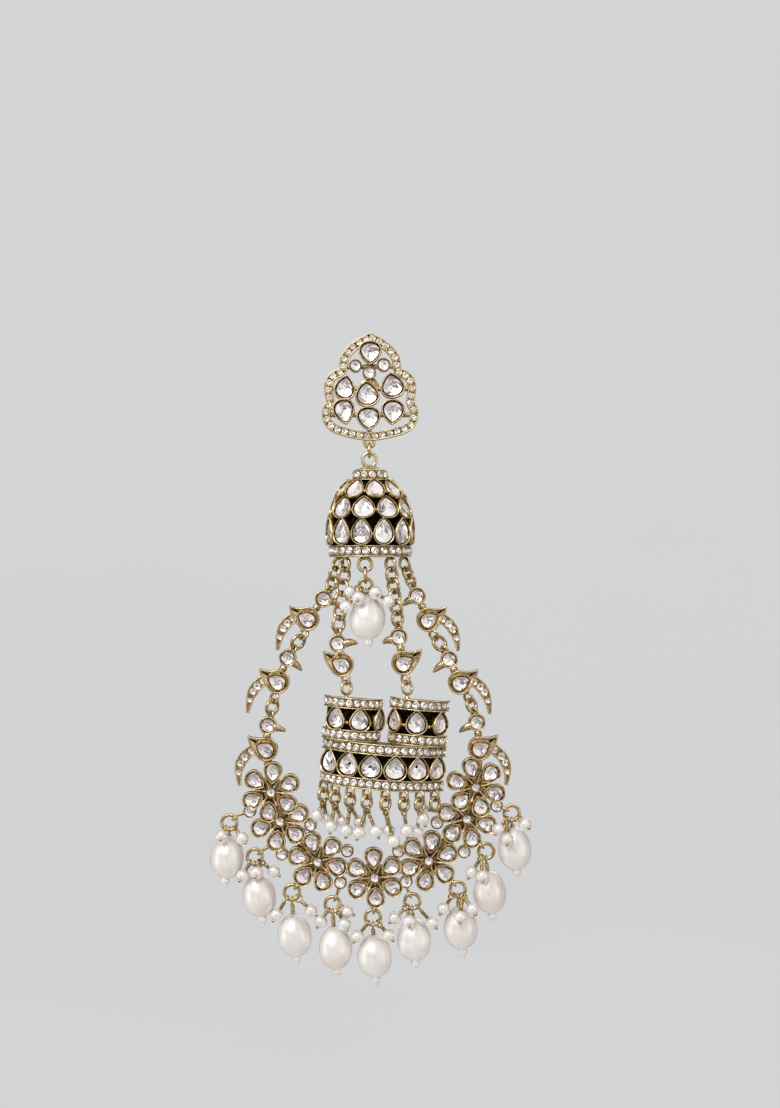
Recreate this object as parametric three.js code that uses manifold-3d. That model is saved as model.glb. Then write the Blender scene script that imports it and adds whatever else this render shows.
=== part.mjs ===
// Chandbali earring: a paved stud on an ear post, a hollow jhumka dome on a jump ring,
// two chains of bird links at each side, a fringed panel of three curved drums, and a
// crescent of seven flowers that carries nine pearl drops.
// Millimetres. +Z is up, -Y is the front. The origin is where the ear post leaves the
// stud's flat back.
import * as THREE from "three";
import { mergeVertices } from "three/addons/utils/BufferGeometryUtils.js";
import Module from "manifold-3d";

const wasm = await Module();
wasm.setup();

// ---- Driving dimensions -------------------------------------------------------------

const HANG_Y = -0.8;          // plane in which the jump ring and all below it hang
const CHAIN_Y = 2.2;          // outer chains and crescent, behind that plane
const INNER_Y = -5.0;         // inner chains and panel, in front of it

const WIRE = 0.3;             // radius of all ring wire
const PLAY = 0.15;            // clearance between two linked wires
const STRAND_BITE = 0.11;     // cut in ring radius that joins the rings of an inner chain
const BITE = 2 * WIRE + PLAY;  // how far one link reaches into the next, wire to wire
const SEAT_GAP = 0.25;        // clearance between a stone and its setting
const RIM_LOOP_R = 1.5;       // centreline radius of a loop on the dome's rim or the panel
const BODY_LOOP_R = 1.2;      // the same, for the loop under a bird's body
const HEAD_LOOP_R = 0.9;      // the same, for the loop on a bird's head
const EYE_R = 0.8;            // the same, for the eye of a pearl's pin
const PIN_R = 0.35;           // radius of a pearl's pin
const SEED_R = 1.5;           // seed pearls
const HEAD_PIN_R = 0.25;      // radius of a seed's head pin
const WELD = 1e-4;            // points closer than this are one point

const POST = { padR: 2.2, padT: 0.6, r: 0.45, length: 11 };
const STUD = { centreX: 0.2, band: 2.0, bandT: 1.6, bezelT: 2.4, wall: 0.4, floor: 0.8,
  barT: 0.7, barW: 1.1, loopZ: -13.0, loopR: 1.05 };
const STONE = { depth: 1.0, bevel: 0.25 };
const STUD_RING_R = 1.45;
const DOME = { x: 0.2, topRingR: 1.58, topRingWire: 0.375, loopZ: -41.0 };
const BEZEL_T = 2.0;          // height of a crescent or bird bezel, front to back
const BACK_T = 0.7;           // thickness of the backing bars and discs
const BACK_BAR = { flower: 2.2, round: 1.4 };   // widths of the backing bars
const PETAL = { length: 5.0, width: 4.3, reach: 4.5 };
const ROUND_R = 1.5;          // small round bezels of the crescent
const FLOWER = { eyeR: 1.75, backR: 3.5 };
const PEARL = { length: 9.9, width: 7.8, tipR: 1.0 };
const CENTRE_PEARL = { x: -0.4, z: -52.8, length: 10.2, width: 8.3, tipR: 1.0 };
const PANEL = { tilt: -4.3, wall: 1.3, deckT: 0.9, facetAngle: 0.33 };

const PEAR_FULLNESS = 0.77;   // widest value of sin(t) sin(t/2)

// How finely each round form is cut into flats.
const FACETS = { wire: 4, ring: 8, ballAround: 6, ballDown: 4, rod: 4, round: 8, petal: 8,
  setting: 10, pearlAround: 10, pearlDown: 5, dome: 18, post: 12 };

// Finishes of the three kinds of piece.
const GOLD = new THREE.MeshStandardMaterial({ color: 0xb8975a, metalness: 1, roughness: 0.35 });
const CRYSTAL = new THREE.MeshStandardMaterial({ color: 0xe8e4de, metalness: 0, roughness: 0.08 });
const NACRE = new THREE.MeshStandardMaterial({ color: 0xf1ece4, metalness: 0, roughness: 0.3 });

// ---- Tables -------------------------------------------------------------------------

// Right half of the stud's edge, from the tip down: each row is one curved stretch with
// its control point and its end, X counted from the stud's centre line.
const STUD_EDGE = [
  { bendX: 7.8, bendZ: 8.9, x: 7.1, z: 4.0 },
  { bendX: 12.0, bendZ: 2.6, x: 10.1, z: -3.7 },
  { bendX: 11.3, bendZ: -4.8, x: 11.1, z: -6.9 },
  { bendX: 10.9, bendZ: -10.4, x: 6.2, z: -11.5 },
  { bendX: 3.0, bendZ: -12.4, x: 0, z: -12.6 },
];
const STUD_TIP_Z = 12.3;

// The stud's large settings; `pointAt` is the direction of the teardrop's point.
const STUD_SETTINGS = [
  { name: "top", x: 0.2, z: 7.6, length: 5.6, width: 5.4, pointAt: -90 },
  { name: "mid_left", x: -5.6, z: -0.4, length: 5.8, width: 5.0, pointAt: 80 },
  { name: "mid_centre", x: -0.5, z: -1.8, length: 6.0, width: 5.7, pointAt: 95 },
  { name: "mid_right", x: 5.3, z: 0.1, length: 6.0, width: 5.7, pointAt: 100 },
  { name: "low_left", x: -5.8, z: -5.9, length: 6.0, width: 5.2, pointAt: -80 },
  { name: "low_centre", x: -0.2, z: -7.5, length: 5.6, width: 5.7, pointAt: -90 },
  { name: "low_right", x: 5.4, z: -6.0, length: 5.9, width: 5.5, pointAt: -95 },
];
const STUD_ROUNDS = [
  { x: -3.2, z: 4.6, r: 1.5 },
  { x: 0.0, z: 3.0, r: 1.6 },
  { x: 3.3, z: 4.8, r: 1.6 },
];
const STUD_BARS = [
  { x0: -6.2, z0: 4.4, x1: 6.6, z1: 4.6 },
  { x0: -9.0, z0: -0.6, x1: 9.6, z1: -0.6 },
  { x0: -9.6, z0: -6.6, x1: 10.0, z1: -6.6 },
  { x0: 0, z0: -11.6, x1: 0, z1: 11.0 },
];

// Outside of the dome from its crown to its rim, then the inside back up to the crown.
const DOME_PROFILE = [
  { r: 0.0, z: -18.2 }, { r: 2.5, z: -19.0 }, { r: 3.8, z: -19.7 }, { r: 4.0, z: -20.9 },
  { r: 5.7, z: -22.0 }, { r: 7.6, z: -24.4 }, { r: 9.3, z: -28.8 }, { r: 10.0, z: -33.4 },
  { r: 9.4, z: -37.0 }, { r: 9.5, z: -38.4 }, { r: 8.4, z: -39.5 },
  { r: 7.5, z: -39.5 }, { r: 8.5, z: -37.0 }, { r: 9.1, z: -33.4 }, { r: 8.4, z: -29.0 },
  { r: 6.8, z: -25.0 }, { r: 4.6, z: -22.4 }, { r: 2.6, z: -21.0 }, { r: 0.0, z: -20.4 },
];

// Chains: the middles and radii of the upper and lower loops, and the rings between them.
const CHAINS = [
  { name: "outer_left_1", from: [-7.3, CHAIN_Y, DOME.loopZ], r0: RIM_LOOP_R,
    to: [-9.3, CHAIN_Y, -46.9], r1: HEAD_LOOP_R, rings: 2 },
  { name: "outer_left_2", from: [-15.2, CHAIN_Y, -57.2], r0: BODY_LOOP_R,
    to: [-17.6, CHAIN_Y, -60.5], r1: HEAD_LOOP_R, rings: 1 },
  { name: "outer_left_3", from: [-22.0, CHAIN_Y, -71.9], r0: BODY_LOOP_R,
    to: [-22.9, CHAIN_Y, -75.8], r1: HEAD_LOOP_R, rings: 1 },
  { name: "outer_right_1", from: [8.1, CHAIN_Y, DOME.loopZ], r0: RIM_LOOP_R,
    to: [10.0, CHAIN_Y, -46.1], r1: HEAD_LOOP_R, rings: 2 },
  { name: "outer_right_2", from: [14.9, CHAIN_Y, -57.4], r0: BODY_LOOP_R,
    to: [17.3, CHAIN_Y, -60.8], r1: HEAD_LOOP_R, rings: 1 },
  { name: "outer_right_3", from: [22.9, CHAIN_Y, -71.8], r0: BODY_LOOP_R,
    to: [24.2, CHAIN_Y, -75.1], r1: HEAD_LOOP_R, rings: 1 },
  { name: "inner_left", from: [-5.5, -5.6, DOME.loopZ], r0: RIM_LOOP_R,
    to: [-7.1, INNER_Y, -56.4], r1: HEAD_LOOP_R, rings: 5 },
  { name: "inner_right", from: [4.9, -6.2, DOME.loopZ], r0: RIM_LOOP_R,
    to: [6.7, INNER_Y, -55.0], r1: HEAD_LOOP_R, rings: 5 },
  { name: "panel_left", from: [-5.3, INNER_Y, -67.0], r0: BODY_LOOP_R,
    to: [-5.1, INNER_Y, -69.0], r1: RIM_LOOP_R, rings: 0 },
  { name: "panel_right", from: [8.3, INNER_Y, -67.0], r0: BODY_LOOP_R,
    to: [8.7, INNER_Y, -69.0], r1: RIM_LOOP_R, rings: 0 },
  { name: "centre_pearl", from: [-0.9, -7.9, DOME.loopZ], r0: RIM_LOOP_R,
    to: [-0.7, -7.9, -45.7], r1: RIM_LOOP_R, rings: 1, turn: 0 },
];
const CHAIN_TURN = 45;        // the upper loop's turn about a chain: 0 is face-on, 90 edge-on

// Birds: the body's centre, then head and beak tip counted from it. `outward` is the side
// of the upswept tip, `above` and `below` the chains that the bird joins.
const BIRDS = [
  { name: "bird_left_1", x: -14.3, z: -53.6, headX: 3.7, headZ: 4.6, beakX: 7.2, beakZ: 3.2,
    outward: -1, above: "outer_left_1", below: "outer_left_2" },
  { name: "bird_left_2", x: -21.2, z: -68.1, headX: 2.3, headZ: 5.5, beakX: 5.6, beakZ: 2.5,
    outward: -1, above: "outer_left_2", below: "outer_left_3" },
  { name: "bird_right_1", x: 13.6, z: -53.8, headX: -2.6, headZ: 5.5, beakX: -6.0, beakZ: 3.2,
    outward: 1, above: "outer_right_1", below: "outer_right_2" },
  { name: "bird_right_2", x: 20.9, z: -68.3, headX: -2.5, headZ: 5.3, beakX: -6.2, beakZ: 2.3,
    outward: 1, above: "outer_right_2", below: "outer_right_3" },
  { name: "bird_inner_left", x: -6.2, z: -63.7, headX: -0.9, headZ: 4.8, beakX: 3.7, beakZ: 4.8,
    outward: -1, above: "inner_left", below: "panel_left" },
  { name: "bird_inner_right", x: 7.8, z: -63.3, headX: -1.1, headZ: 5.8, beakX: -4.8, beakZ: 4.4,
    outward: 1, above: "inner_right", below: "panel_right" },
];
const CRESCENT_BIRDS = [
  { x: -23.9, z: -83.7, headX: 0.4, headZ: 5.5, beakX: 4.6, beakZ: 4.1, outward: -1,
    chain: "outer_left_3" },
  { x: 25.5, z: -83.5, headX: -0.7, headZ: 6.0, beakX: -4.8, beakZ: 3.7, outward: 1,
    chain: "outer_right_3" },
];
const BIRD = { headR: 2.0, bodyR: 2.8, tipX: 4.2, tipZ: 3.0, neckWire: 0.7, beakRoot: 1.0 };

// Tail blades, counted outwards and up from the body's centre: the free ones of the chain
// birds, and the longer ones that lie along the crescent.
const TAILS = {
  free: { startX: 3.0, startZ: 0.3, bendX: 6.6, bendZ: -1.3, endX: 6.9, endZ: -7.2 },
  lying: { startX: 2.6, startZ: 0.0, bendX: 7.4, bendZ: -2.6, endX: 6.0, endZ: -8.4 },
};
const TAIL = { wide: 2.1, narrow: 0.8, steps: 3 };

// Flowers of the crescent: centre, direction of the first petal, and the petals that are
// its own (a flower lends none of those that its neighbour also touches).
const FLOWERS = [
  { x: -22.8, z: -93.6, phase: 84, petals: [0, 1, 2, 3, 4, 5] },
  { x: -20.7, z: -100.3, phase: 80, petals: [1, 2, 3, 4] },
  { x: -12.0, z: -109.7, phase: 45, petals: [0, 1, 2, 3, 4, 5] },
  { x: 1.2, z: -113.4, phase: 93, petals: [0, 1, 2, 3, 4, 5] },
  { x: 13.7, z: -109.5, phase: 81, petals: [0, 1, 2, 3, 4, 5] },
  { x: 22.5, z: -99.8, phase: 45, petals: [1, 2, 3, 4] },
  { x: 24.6, z: -92.5, phase: 43, petals: [0, 1, 2, 3, 4, 5] },
];
const CRESCENT_ROUNDS = [
  { x: -27.6, z: -98.0 }, { x: -13.6, z: -101.2 }, { x: -20.2, z: -107.9 },
  { x: -5.1, z: -107.2 }, { x: -6.7, z: -114.5 }, { x: 6.7, z: -107.2 }, { x: 8.5, z: -114.3 },
  { x: 15.6, z: -100.7 }, { x: 21.9, z: -107.4 }, { x: 29.4, z: -96.8 },
];

// Pearl drops: the pearl's centre, the ring above it, and where its hook on the crescent
// is. The pearl leans as far as its eye lies to one side of its centre.
const DROPS = [
  { name: "drop_1", x: -32.9, z: -108.6, ringX: -32.4, ringZ: -100.7, hookX: -31.1,
    hookZ: -99.6 },
  { name: "drop_2", x: -25.5, z: -117.5, ringX: -26.5, ringZ: -108.6, hookX: -24.4,
    hookZ: -107.0 },
  { name: "drop_3", x: -17.3, z: -126.7, ringX: -17.9, ringZ: -116.8, hookX: -16.6,
    hookZ: -115.0 },
  { name: "drop_4", x: -7.9, z: -129.6, ringX: -8.5, ringZ: -119.6, hookX: -7.6,
    hookZ: -117.5 },
  { name: "drop_5", x: 1.2, z: -131.5, ringX: 0.8, ringZ: -122.6, hookX: 1.1,
    hookZ: -120.4 },
  { name: "drop_6", x: 10.3, z: -127.7, ringX: 9.9, ringZ: -118.9, hookX: 9.1,
    hookZ: -116.8 },
  { name: "drop_7", x: 21.1, z: -125.0, ringX: 20.4, ringZ: -116.1, hookX: 19.2,
    hookZ: -114.2 },
  { name: "drop_8", x: 27.8, z: -116.7, ringX: 27.0, ringZ: -107.3, hookX: 25.6,
    hookZ: -105.6 },
  { name: "drop_9", x: 33.5, z: -106.6, ringX: 32.9, ringZ: -98.5, hookX: 31.2,
    hookZ: -97.4 },
];
const DROP_RING_R = 1.75;
const ROOT_CLEAR = 0.7;       // least angle from straight down to a head pin's root, radians

// Seed pearls, by the ring they hang from. Those round a large pearl rest on it, and those
// of the fringe hang `back` behind their ring's plane.
const SEEDS = [
  { on: "centre_pearl", x: -4.2, z: -47.2 }, { on: "centre_pearl", x: -5.1, z: -50.4 },
  { on: "centre_pearl", x: -2.3, z: -48.4 }, { on: "centre_pearl", x: 1.5, z: -47.3 },
  { on: "centre_pearl", x: 4.4, z: -49.2 },
  { on: "drop_1", x: -33.8, z: -103.3 }, { on: "drop_1", x: -29.2, z: -103.9 },
  { on: "drop_2", x: -29.1, z: -112.5 }, { on: "drop_2", x: -25.8, z: -111.7 },
  { on: "drop_2", x: -22.1, z: -111.9 },
  { on: "drop_3", x: -21.3, z: -121.7 }, { on: "drop_3", x: -13.5, z: -121.0 },
  { on: "drop_4", x: -11.2, z: -123.5 }, { on: "drop_4", x: -5.1, z: -121.3 },
  { on: "drop_4", x: -5.7, z: -123.7 },
  { on: "drop_5", x: -2.7, z: -126.6 }, { on: "drop_5", x: 4.5, z: -126.3 },
  { on: "drop_6", x: 5.9, z: -122.7 }, { on: "drop_6", x: 9.1, z: -122.7 },
  { on: "drop_6", x: 14.4, z: -123.4 },
  { on: "drop_7", x: 17.1, z: -120.2 }, { on: "drop_7", x: 23.6, z: -120.1 },
  { on: "drop_7", x: 20.8, z: -121.5 },
  { on: "drop_8", x: 23.6, z: -111.9 }, { on: "drop_8", x: 25.9, z: -112.3 },
  { on: "drop_9", x: 29.7, z: -101.9 }, { on: "drop_9", x: 35.8, z: -100.8 },
  { on: "drop_9", x: 31.5, z: -103.7 },
  { on: "fringe_1", x: -11.8, z: -98.3, back: 0 },
  { on: "fringe_1", x: -9.9, z: -99.2, back: 2.3 },
  { on: "fringe_2", x: -8.6, z: -100.3, back: 0 },
  { on: "fringe_2", x: -6.2, z: -99.5, back: 2.3 },
  { on: "fringe_3", x: -5.0, z: -100.9, back: 0 },
  { on: "fringe_3", x: -2.1, z: -99.4, back: 2.3 },
  { on: "fringe_4", x: -2.2, z: -101.2, back: 0 },
  { on: "fringe_4", x: 1.6, z: -100.9, back: 0 },
  { on: "fringe_5", x: 4.5, z: -100.9, back: 1.6 },
  { on: "fringe_5", x: 5.6, z: -103.1, back: 0 },
  { on: "fringe_6", x: 8.5, z: -100.8, back: 0 },
  { on: "fringe_7", x: 12.2, z: -98.6, back: 0 },
  { on: "fringe_7", x: 10.9, z: -101.7, back: 1.6 },
  { on: "fringe_8", x: 12.3, z: -97.0, back: 1.0 },
];

// Curved drums of the panel, in the panel's own upright frame: `x` is the middle, `half`
// half the width, `r` the front's radius, `axisY` the drum's axis.
const PANEL_AT = { x: 4.0, z: -81.1 };
const DRUMS = [
  { x: -8.2, half: 6.8, r: 7.1, axisY: -0.7, top: 9.4, bottom: -0.5 },
  { x: 6.9, half: 6.9, r: 7.1, axisY: -0.7, top: 10.1, bottom: -0.5 },
  { x: -0.4, half: 14.3, r: 17.0, axisY: 7.3, top: -0.4, bottom: -10.8 },
];
const FRINGE = { lift: 0.9, loopR: 1.2, ringR: 1.45, turn: 45 };
const FRINGE_AT = [-13.6, -10.9, -7.4, -3.6, 0.6, 4.8, 8.4, 11.9];

// ---- Joining and placing ------------------------------------------------------------

function toSolid(geometry) {
  const bare = geometry.clone();
  bare.deleteAttribute("normal");
  bare.deleteAttribute("uv");
  const merged = mergeVertices(bare, WELD);
  return new wasm.Manifold(new wasm.Mesh({
    numProp: 3,
    vertProperties: new Float32Array(merged.attributes.position.array),
    triVerts: new Uint32Array(merged.index.array),
  }));
}

function toGeometry(solid) {
  const mesh = solid.getMesh();
  const geometry = new THREE.BufferGeometry();
  geometry.setAttribute("position", new THREE.BufferAttribute(mesh.vertProperties, 3));
  geometry.setIndex(new THREE.BufferAttribute(mesh.triVerts, 1));
  geometry.computeVertexNormals();
  return geometry;
}

function solder(geometries) {
  return geometries.map(toSolid).reduce((whole, part) => whole.add(part));
}

const earring = new THREE.Group();
const hanging = new THREE.Group();
hanging.position.y = HANG_Y;
earring.add(hanging);

function addPiece(group, name, geometry, material) {
  const mesh = new THREE.Mesh(geometry, material);
  mesh.name = name;
  group.add(mesh);
  return mesh;
}

const at = (x, y, z) => new THREE.Vector3(x, y, z);
const degrees = THREE.MathUtils.degToRad;

// ---- Shapes -------------------------------------------------------------------------

function teardrop({ x, z, length, width, pointAt }, inset, sides) {
  const half = length / 2 - inset;
  const across = (width / 2 - inset) / PEAR_FULLNESS;
  const cos = Math.cos(degrees(pointAt));
  const sin = Math.sin(degrees(pointAt));
  return Array.from({ length: sides }, (_, i) => {
    const t = (2 * Math.PI * i) / sides;
    const along = half * Math.cos(t);
    const side = across * Math.sin(t) * Math.sin(t / 2);
    return new THREE.Vector2(x + along * cos - side * sin, z + along * sin + side * cos);
  });
}

function circle(x, z, r) {
  return Array.from({ length: FACETS.round }, (_, i) => {
    const t = (2 * Math.PI * (i + 0.5)) / FACETS.round;
    return new THREE.Vector2(x + r * Math.cos(t), z + r * Math.sin(t));
  });
}

// A flat outline in X and Z, made solid from its front face back to `backY`.
function plate(outline, frontY, backY, hole = null) {
  const shape = new THREE.Shape(outline);
  if (hole) shape.holes.push(new THREE.Path(hole));
  const options = { depth: backY - frontY, bevelEnabled: false };
  return new THREE.ExtrudeGeometry(shape, options).rotateX(Math.PI / 2).translate(0, backY, 0);
}

function bar(x0, z0, x1, z1, width, frontY, backY) {
  const length = Math.hypot(x1 - x0, z1 - z0);
  return new THREE.BoxGeometry(length, backY - frontY, width)
    .rotateY(-Math.atan2(z1 - z0, x1 - x0))
    .translate((x0 + x1) / 2, (frontY + backY) / 2, (z0 + z1) / 2);
}

function rod(from, to, radius) {
  const way = to.clone().sub(from);
  const turn = new THREE.Quaternion().setFromUnitVectors(at(0, 1, 0), way.clone().normalize());
  const middle = from.clone().add(to).multiplyScalar(0.5);
  return new THREE.CylinderGeometry(radius, radius, way.length(), FACETS.rod)
    .applyQuaternion(turn)
    .translate(middle.x, middle.y, middle.z);
}

// A wire ring whose plane holds `way`, turned about it from face-on (0) to edge-on (90).
function ring({ centre, way, turn, r, wire = WIRE }) {
  const across = at(0, 1, 0).cross(way).normalize();
  const depth = way.clone().cross(across);
  const side = across.multiplyScalar(Math.cos(degrees(turn)))
    .addScaledVector(depth, Math.sin(degrees(turn)));
  const basis = new THREE.Matrix4().makeBasis(way, side, way.clone().cross(side));
  return new THREE.TorusGeometry(r, wire, FACETS.wire, FACETS.ring)
    .applyMatrix4(basis)
    .translate(centre.x, centre.y, centre.z);
}

function ball(x, y, z, r) {
  return new THREE.SphereGeometry(r, FACETS.ballAround, FACETS.ballDown)
    .rotateX(Math.PI / 2).translate(x, y, z);
}

// ---- Chains -------------------------------------------------------------------------

// Spreads a chain's rings evenly between its two loops, each turned square to the last.
// Two loops with no ring between them are linked directly.
function layChain(row) {
  const start = at(...row.from);
  const aim = at(...row.to);
  const { turn = CHAIN_TURN } = row;
  const way = aim.clone().sub(start).normalize();
  const span = row.rings ? start.distanceTo(aim) : row.r0 + row.r1 - BITE;
  const end = start.clone().addScaledVector(way, span);
  const r = (span - row.r0 - row.r1 + (row.rings + 1) * BITE) / (2 * row.rings || 1);
  const rings = Array.from({ length: row.rings }, (_, k) => ({
    centre: start.clone().addScaledVector(way, row.r0 + r - BITE + k * (2 * r - BITE)),
    way, turn: turn + 90 * (k + 1), r,
  }));
  const top = { centre: start, way, turn, r: row.r0 };
  const bottom = { centre: end, way, turn: turn + 90 * (row.rings + 1), r: row.r1 };
  return { name: row.name, top, bottom, rings };
}

const chains = Object.fromEntries(CHAINS.map((row) => [row.name, layChain(row)]));

function addChains() {
  for (const { name, rings } of Object.values(chains)) {
    if (name.startsWith("inner")) {
      addPiece(hanging, `${name}_chain`, toGeometry(linkedStrand(rings)), GOLD);
      continue;
    }
    rings.forEach((link, k) => addPiece(hanging, `${name}_ring_${k + 1}`, ring(link), GOLD));
  }
}

// The five small rings of an inner chain as one piece: each ring bites into the next.
function linkedStrand(rings) {
  return solder(rings.map((link) => ring({ ...link, r: link.r - STRAND_BITE })));
}

// ---- Stud ---------------------------------------------------------------------------

function studEdge() {
  const half = [];
  let x = 0;
  let z = STUD_TIP_Z;
  for (const bend of STUD_EDGE) {
    const curve = new THREE.QuadraticBezierCurve(
      new THREE.Vector2(x, z), new THREE.Vector2(bend.bendX, bend.bendZ),
      new THREE.Vector2(bend.x, bend.z));
    half.push(...curve.getPoints(3).slice(0, -1));
    ({ x, z } = bend);
  }
  const mirrored = half.slice(1).reverse().map((p) => new THREE.Vector2(-p.x, p.y));
  const bottom = new THREE.Vector2(x, z);
  return [...half, bottom, ...mirrored].map((p) => p.setX(p.x + STUD.centreX)).reverse();
}

// Moves each corner of a counter-clockwise outline inwards along its own normal.
function shrink(outline, distance) {
  const count = outline.length;
  return outline.map((p, i) => {
    const before = outline[(i + count - 1) % count];
    const after = outline[(i + 1) % count];
    const along = after.clone().sub(before).normalize();
    return new THREE.Vector2(p.x - along.y * distance, p.y + along.x * distance);
  });
}

function addStud() {
  const profile = [[0, 0], [POST.padR, 0], [POST.padR, POST.padT], [POST.r, POST.padT],
    [POST.r, POST.length - POST.r], [0, POST.length]].map(([r, y]) => new THREE.Vector2(r, y));
  addPiece(earring, "ear_post", new THREE.LatheGeometry(profile, FACETS.post), GOLD);

  const edge = studEdge();
  const parts = [plate(edge, -STUD.bandT, 0, shrink(edge, STUD.band))];
  for (const row of STUD_SETTINGS) {
    parts.push(plate(teardrop(row, 0, FACETS.setting), -STUD.bezelT, 0));
  }
  for (const { x, z, r } of STUD_ROUNDS) parts.push(plate(circle(x, z, r), -STUD.bezelT, 0));
  for (const { x0, z0, x1, z1 } of STUD_BARS) {
    parts.push(bar(x0, z0, x1, z1, STUD.barW, -STUD.barT, 0));
  }
  const loop = { centre: at(0, HANG_Y, STUD.loopZ), way: at(0, 0, -1), turn: 0, r: STUD.loopR };
  parts.push(ring(loop));
  let frame = solder(parts);
  for (const row of STUD_SETTINGS) {
    const pocket = teardrop(row, STUD.wall, FACETS.setting);
    frame = frame.subtract(toSolid(plate(pocket, -STUD.bezelT - 1, -STUD.floor)));
  }
  addPiece(earring, "stud_frame", toGeometry(frame), GOLD);

  for (const row of STUD_SETTINGS) {
    const girdle = teardrop(row, STUD.wall + SEAT_GAP + STONE.bevel, FACETS.setting);
    const cut = new THREE.ExtrudeGeometry(new THREE.Shape(girdle), {
      depth: STONE.depth - 2 * STONE.bevel, bevelThickness: STONE.bevel,
      bevelSize: STONE.bevel, bevelSegments: 1,
    }).rotateX(Math.PI / 2).translate(0, -STUD.floor - SEAT_GAP - STONE.bevel, 0);
    addPiece(earring, `stud_stone_${row.name}`, cut, CRYSTAL);
  }

  const top = { centre: studRingCentre(), way: at(0, 0, -1), turn: 90, r: STUD_RING_R };
  addPiece(hanging, "stud_ring", ring(top), GOLD);
}

function studRingCentre() {
  return at(0, 0, STUD.loopZ - STUD.loopR - STUD_RING_R + BITE);
}

// ---- Dome ---------------------------------------------------------------------------

function addDome() {
  const outline = DOME_PROFILE.map(({ r, z }) => new THREE.Vector2(r, z)).reverse();
  const shell = new THREE.LatheGeometry(outline, FACETS.dome).rotateX(Math.PI / 2)
    .translate(DOME.x, 0, 0);
  const thickBite = WIRE + DOME.topRingWire + PLAY;
  const ringZ = studRingCentre().z - STUD_RING_R - DOME.topRingR + thickBite;
  const topRing = { centre: at(0, 0, ringZ), way: at(0, 0, -1), turn: 0, r: DOME.topRingR,
    wire: DOME.topRingWire };
  const loops = Object.values(chains).map((chain) => chain.top)
    .filter((loop) => loop.centre.z === DOME.loopZ);
  const dome = solder([shell, ring(topRing), ...loops.map(ring)]);
  addPiece(hanging, "jhumka_dome", toGeometry(dome), GOLD);
}

// ---- Birds --------------------------------------------------------------------------

function tailOutline(bird, tail) {
  const place = (x, z) => new THREE.Vector2(bird.x + bird.outward * x, bird.z + z);
  const curve = new THREE.QuadraticBezierCurve(place(tail.startX, tail.startZ),
    place(tail.bendX, tail.bendZ), place(tail.endX, tail.endZ));
  const left = [];
  const right = [];
  for (let i = 0; i <= TAIL.steps; i += 1) {
    const u = i / TAIL.steps;
    const p = curve.getPoint(u);
    const way = curve.getTangent(u);
    const half = THREE.MathUtils.lerp(TAIL.wide, TAIL.narrow, u) / 2;
    left.push(new THREE.Vector2(p.x - way.y * half, p.y + way.x * half));
    right.push(new THREE.Vector2(p.x + way.y * half, p.y - way.x * half));
  }
  return [...right, ...left.reverse()];
}

function birdParts(row, y, tail) {
  const front = y - BEZEL_T / 2;
  const back = y + BEZEL_T / 2;
  const reach = Math.hypot(BIRD.tipX, BIRD.tipZ);
  const tipAngle = Math.atan2(BIRD.tipZ, row.outward * BIRD.tipX);
  const shift = (reach - BIRD.bodyR) / 2;
  const body = {
    x: row.x + shift * Math.cos(tipAngle), z: row.z + shift * Math.sin(tipAngle),
    length: reach + BIRD.bodyR, width: 2 * BIRD.bodyR, pointAt: THREE.MathUtils.radToDeg(tipAngle),
  };
  const head = { x: row.x + row.headX, z: row.z + row.headZ };
  const beakWay = new THREE.Vector2(row.beakX - row.headX, row.beakZ - row.headZ).normalize();
  const beak = [
    new THREE.Vector2(row.x + row.beakX, row.z + row.beakZ),
    new THREE.Vector2(head.x - beakWay.y * BIRD.beakRoot, head.z + beakWay.x * BIRD.beakRoot),
    new THREE.Vector2(head.x + beakWay.y * BIRD.beakRoot, head.z - beakWay.x * BIRD.beakRoot),
  ];
  const parts = [
    plate(teardrop(body, 0, FACETS.setting), front, back),
    plate(circle(head.x, head.z, BIRD.headR), front, back),
    plate(beak, y - BIRD.neckWire, y + BIRD.neckWire),
    rod(at(row.x, y, row.z), at(head.x, y, head.z), BIRD.neckWire),
  ];
  if (tail) parts.push(plate(tailOutline(row, tail), y - BIRD.neckWire, y + BIRD.neckWire));
  return parts;
}

// A soldered loop with a short root that runs into the casting behind it.
function rootedLoop(loop, rootX, rootZ) {
  const root = at(rootX, loop.centre.y, rootZ);
  const way = root.clone().sub(loop.centre).normalize();
  const rim = loop.centre.clone().addScaledVector(way, loop.r);
  return [ring(loop), rod(rim, root, WIRE)];
}

function addBirds() {
  for (const row of BIRDS) {
    const inner = row.name.includes("inner");
    const y = inner ? INNER_Y : CHAIN_Y;
    const bird = solder([
      ...birdParts(row, y, inner ? null : TAILS.free),
      ...rootedLoop(chains[row.above].bottom, row.x + row.headX, row.z + row.headZ),
      ...rootedLoop(chains[row.below].top, row.x, row.z),
    ]);
    addPiece(hanging, row.name, toGeometry(bird), GOLD);
  }
}

// ---- Panel and its fringe -----------------------------------------------------------

function drumOutline({ x, half, r, axisY }) {
  const reach = Math.asin(half / r);
  const steps = Math.ceil(reach / PANEL.facetAngle);
  const arc = (radius) => Array.from({ length: 2 * steps + 1 }, (_, i) => {
    const t = (reach * (i - steps)) / steps;
    return new THREE.Vector2(x + radius * Math.sin(t), axisY - radius * Math.cos(t));
  });
  return { front: arc(r), inside: arc(r - PANEL.wall).reverse() };
}

function drumParts(drum) {
  const { front, inside } = drumOutline(drum);
  const slab = (outline, bottom, height) => new THREE.ExtrudeGeometry(
    new THREE.Shape(outline), { depth: height, bevelEnabled: false }).translate(0, 0, bottom);
  return [
    slab([...front, ...inside], drum.bottom, drum.top - drum.bottom),
    slab(front, drum.top - PANEL.deckT, PANEL.deckT),
  ];
}

const panelFrame = new THREE.Matrix4()
  .makeRotationY(degrees(-PANEL.tilt))
  .setPosition(PANEL_AT.x, 0, PANEL_AT.z);

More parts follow.
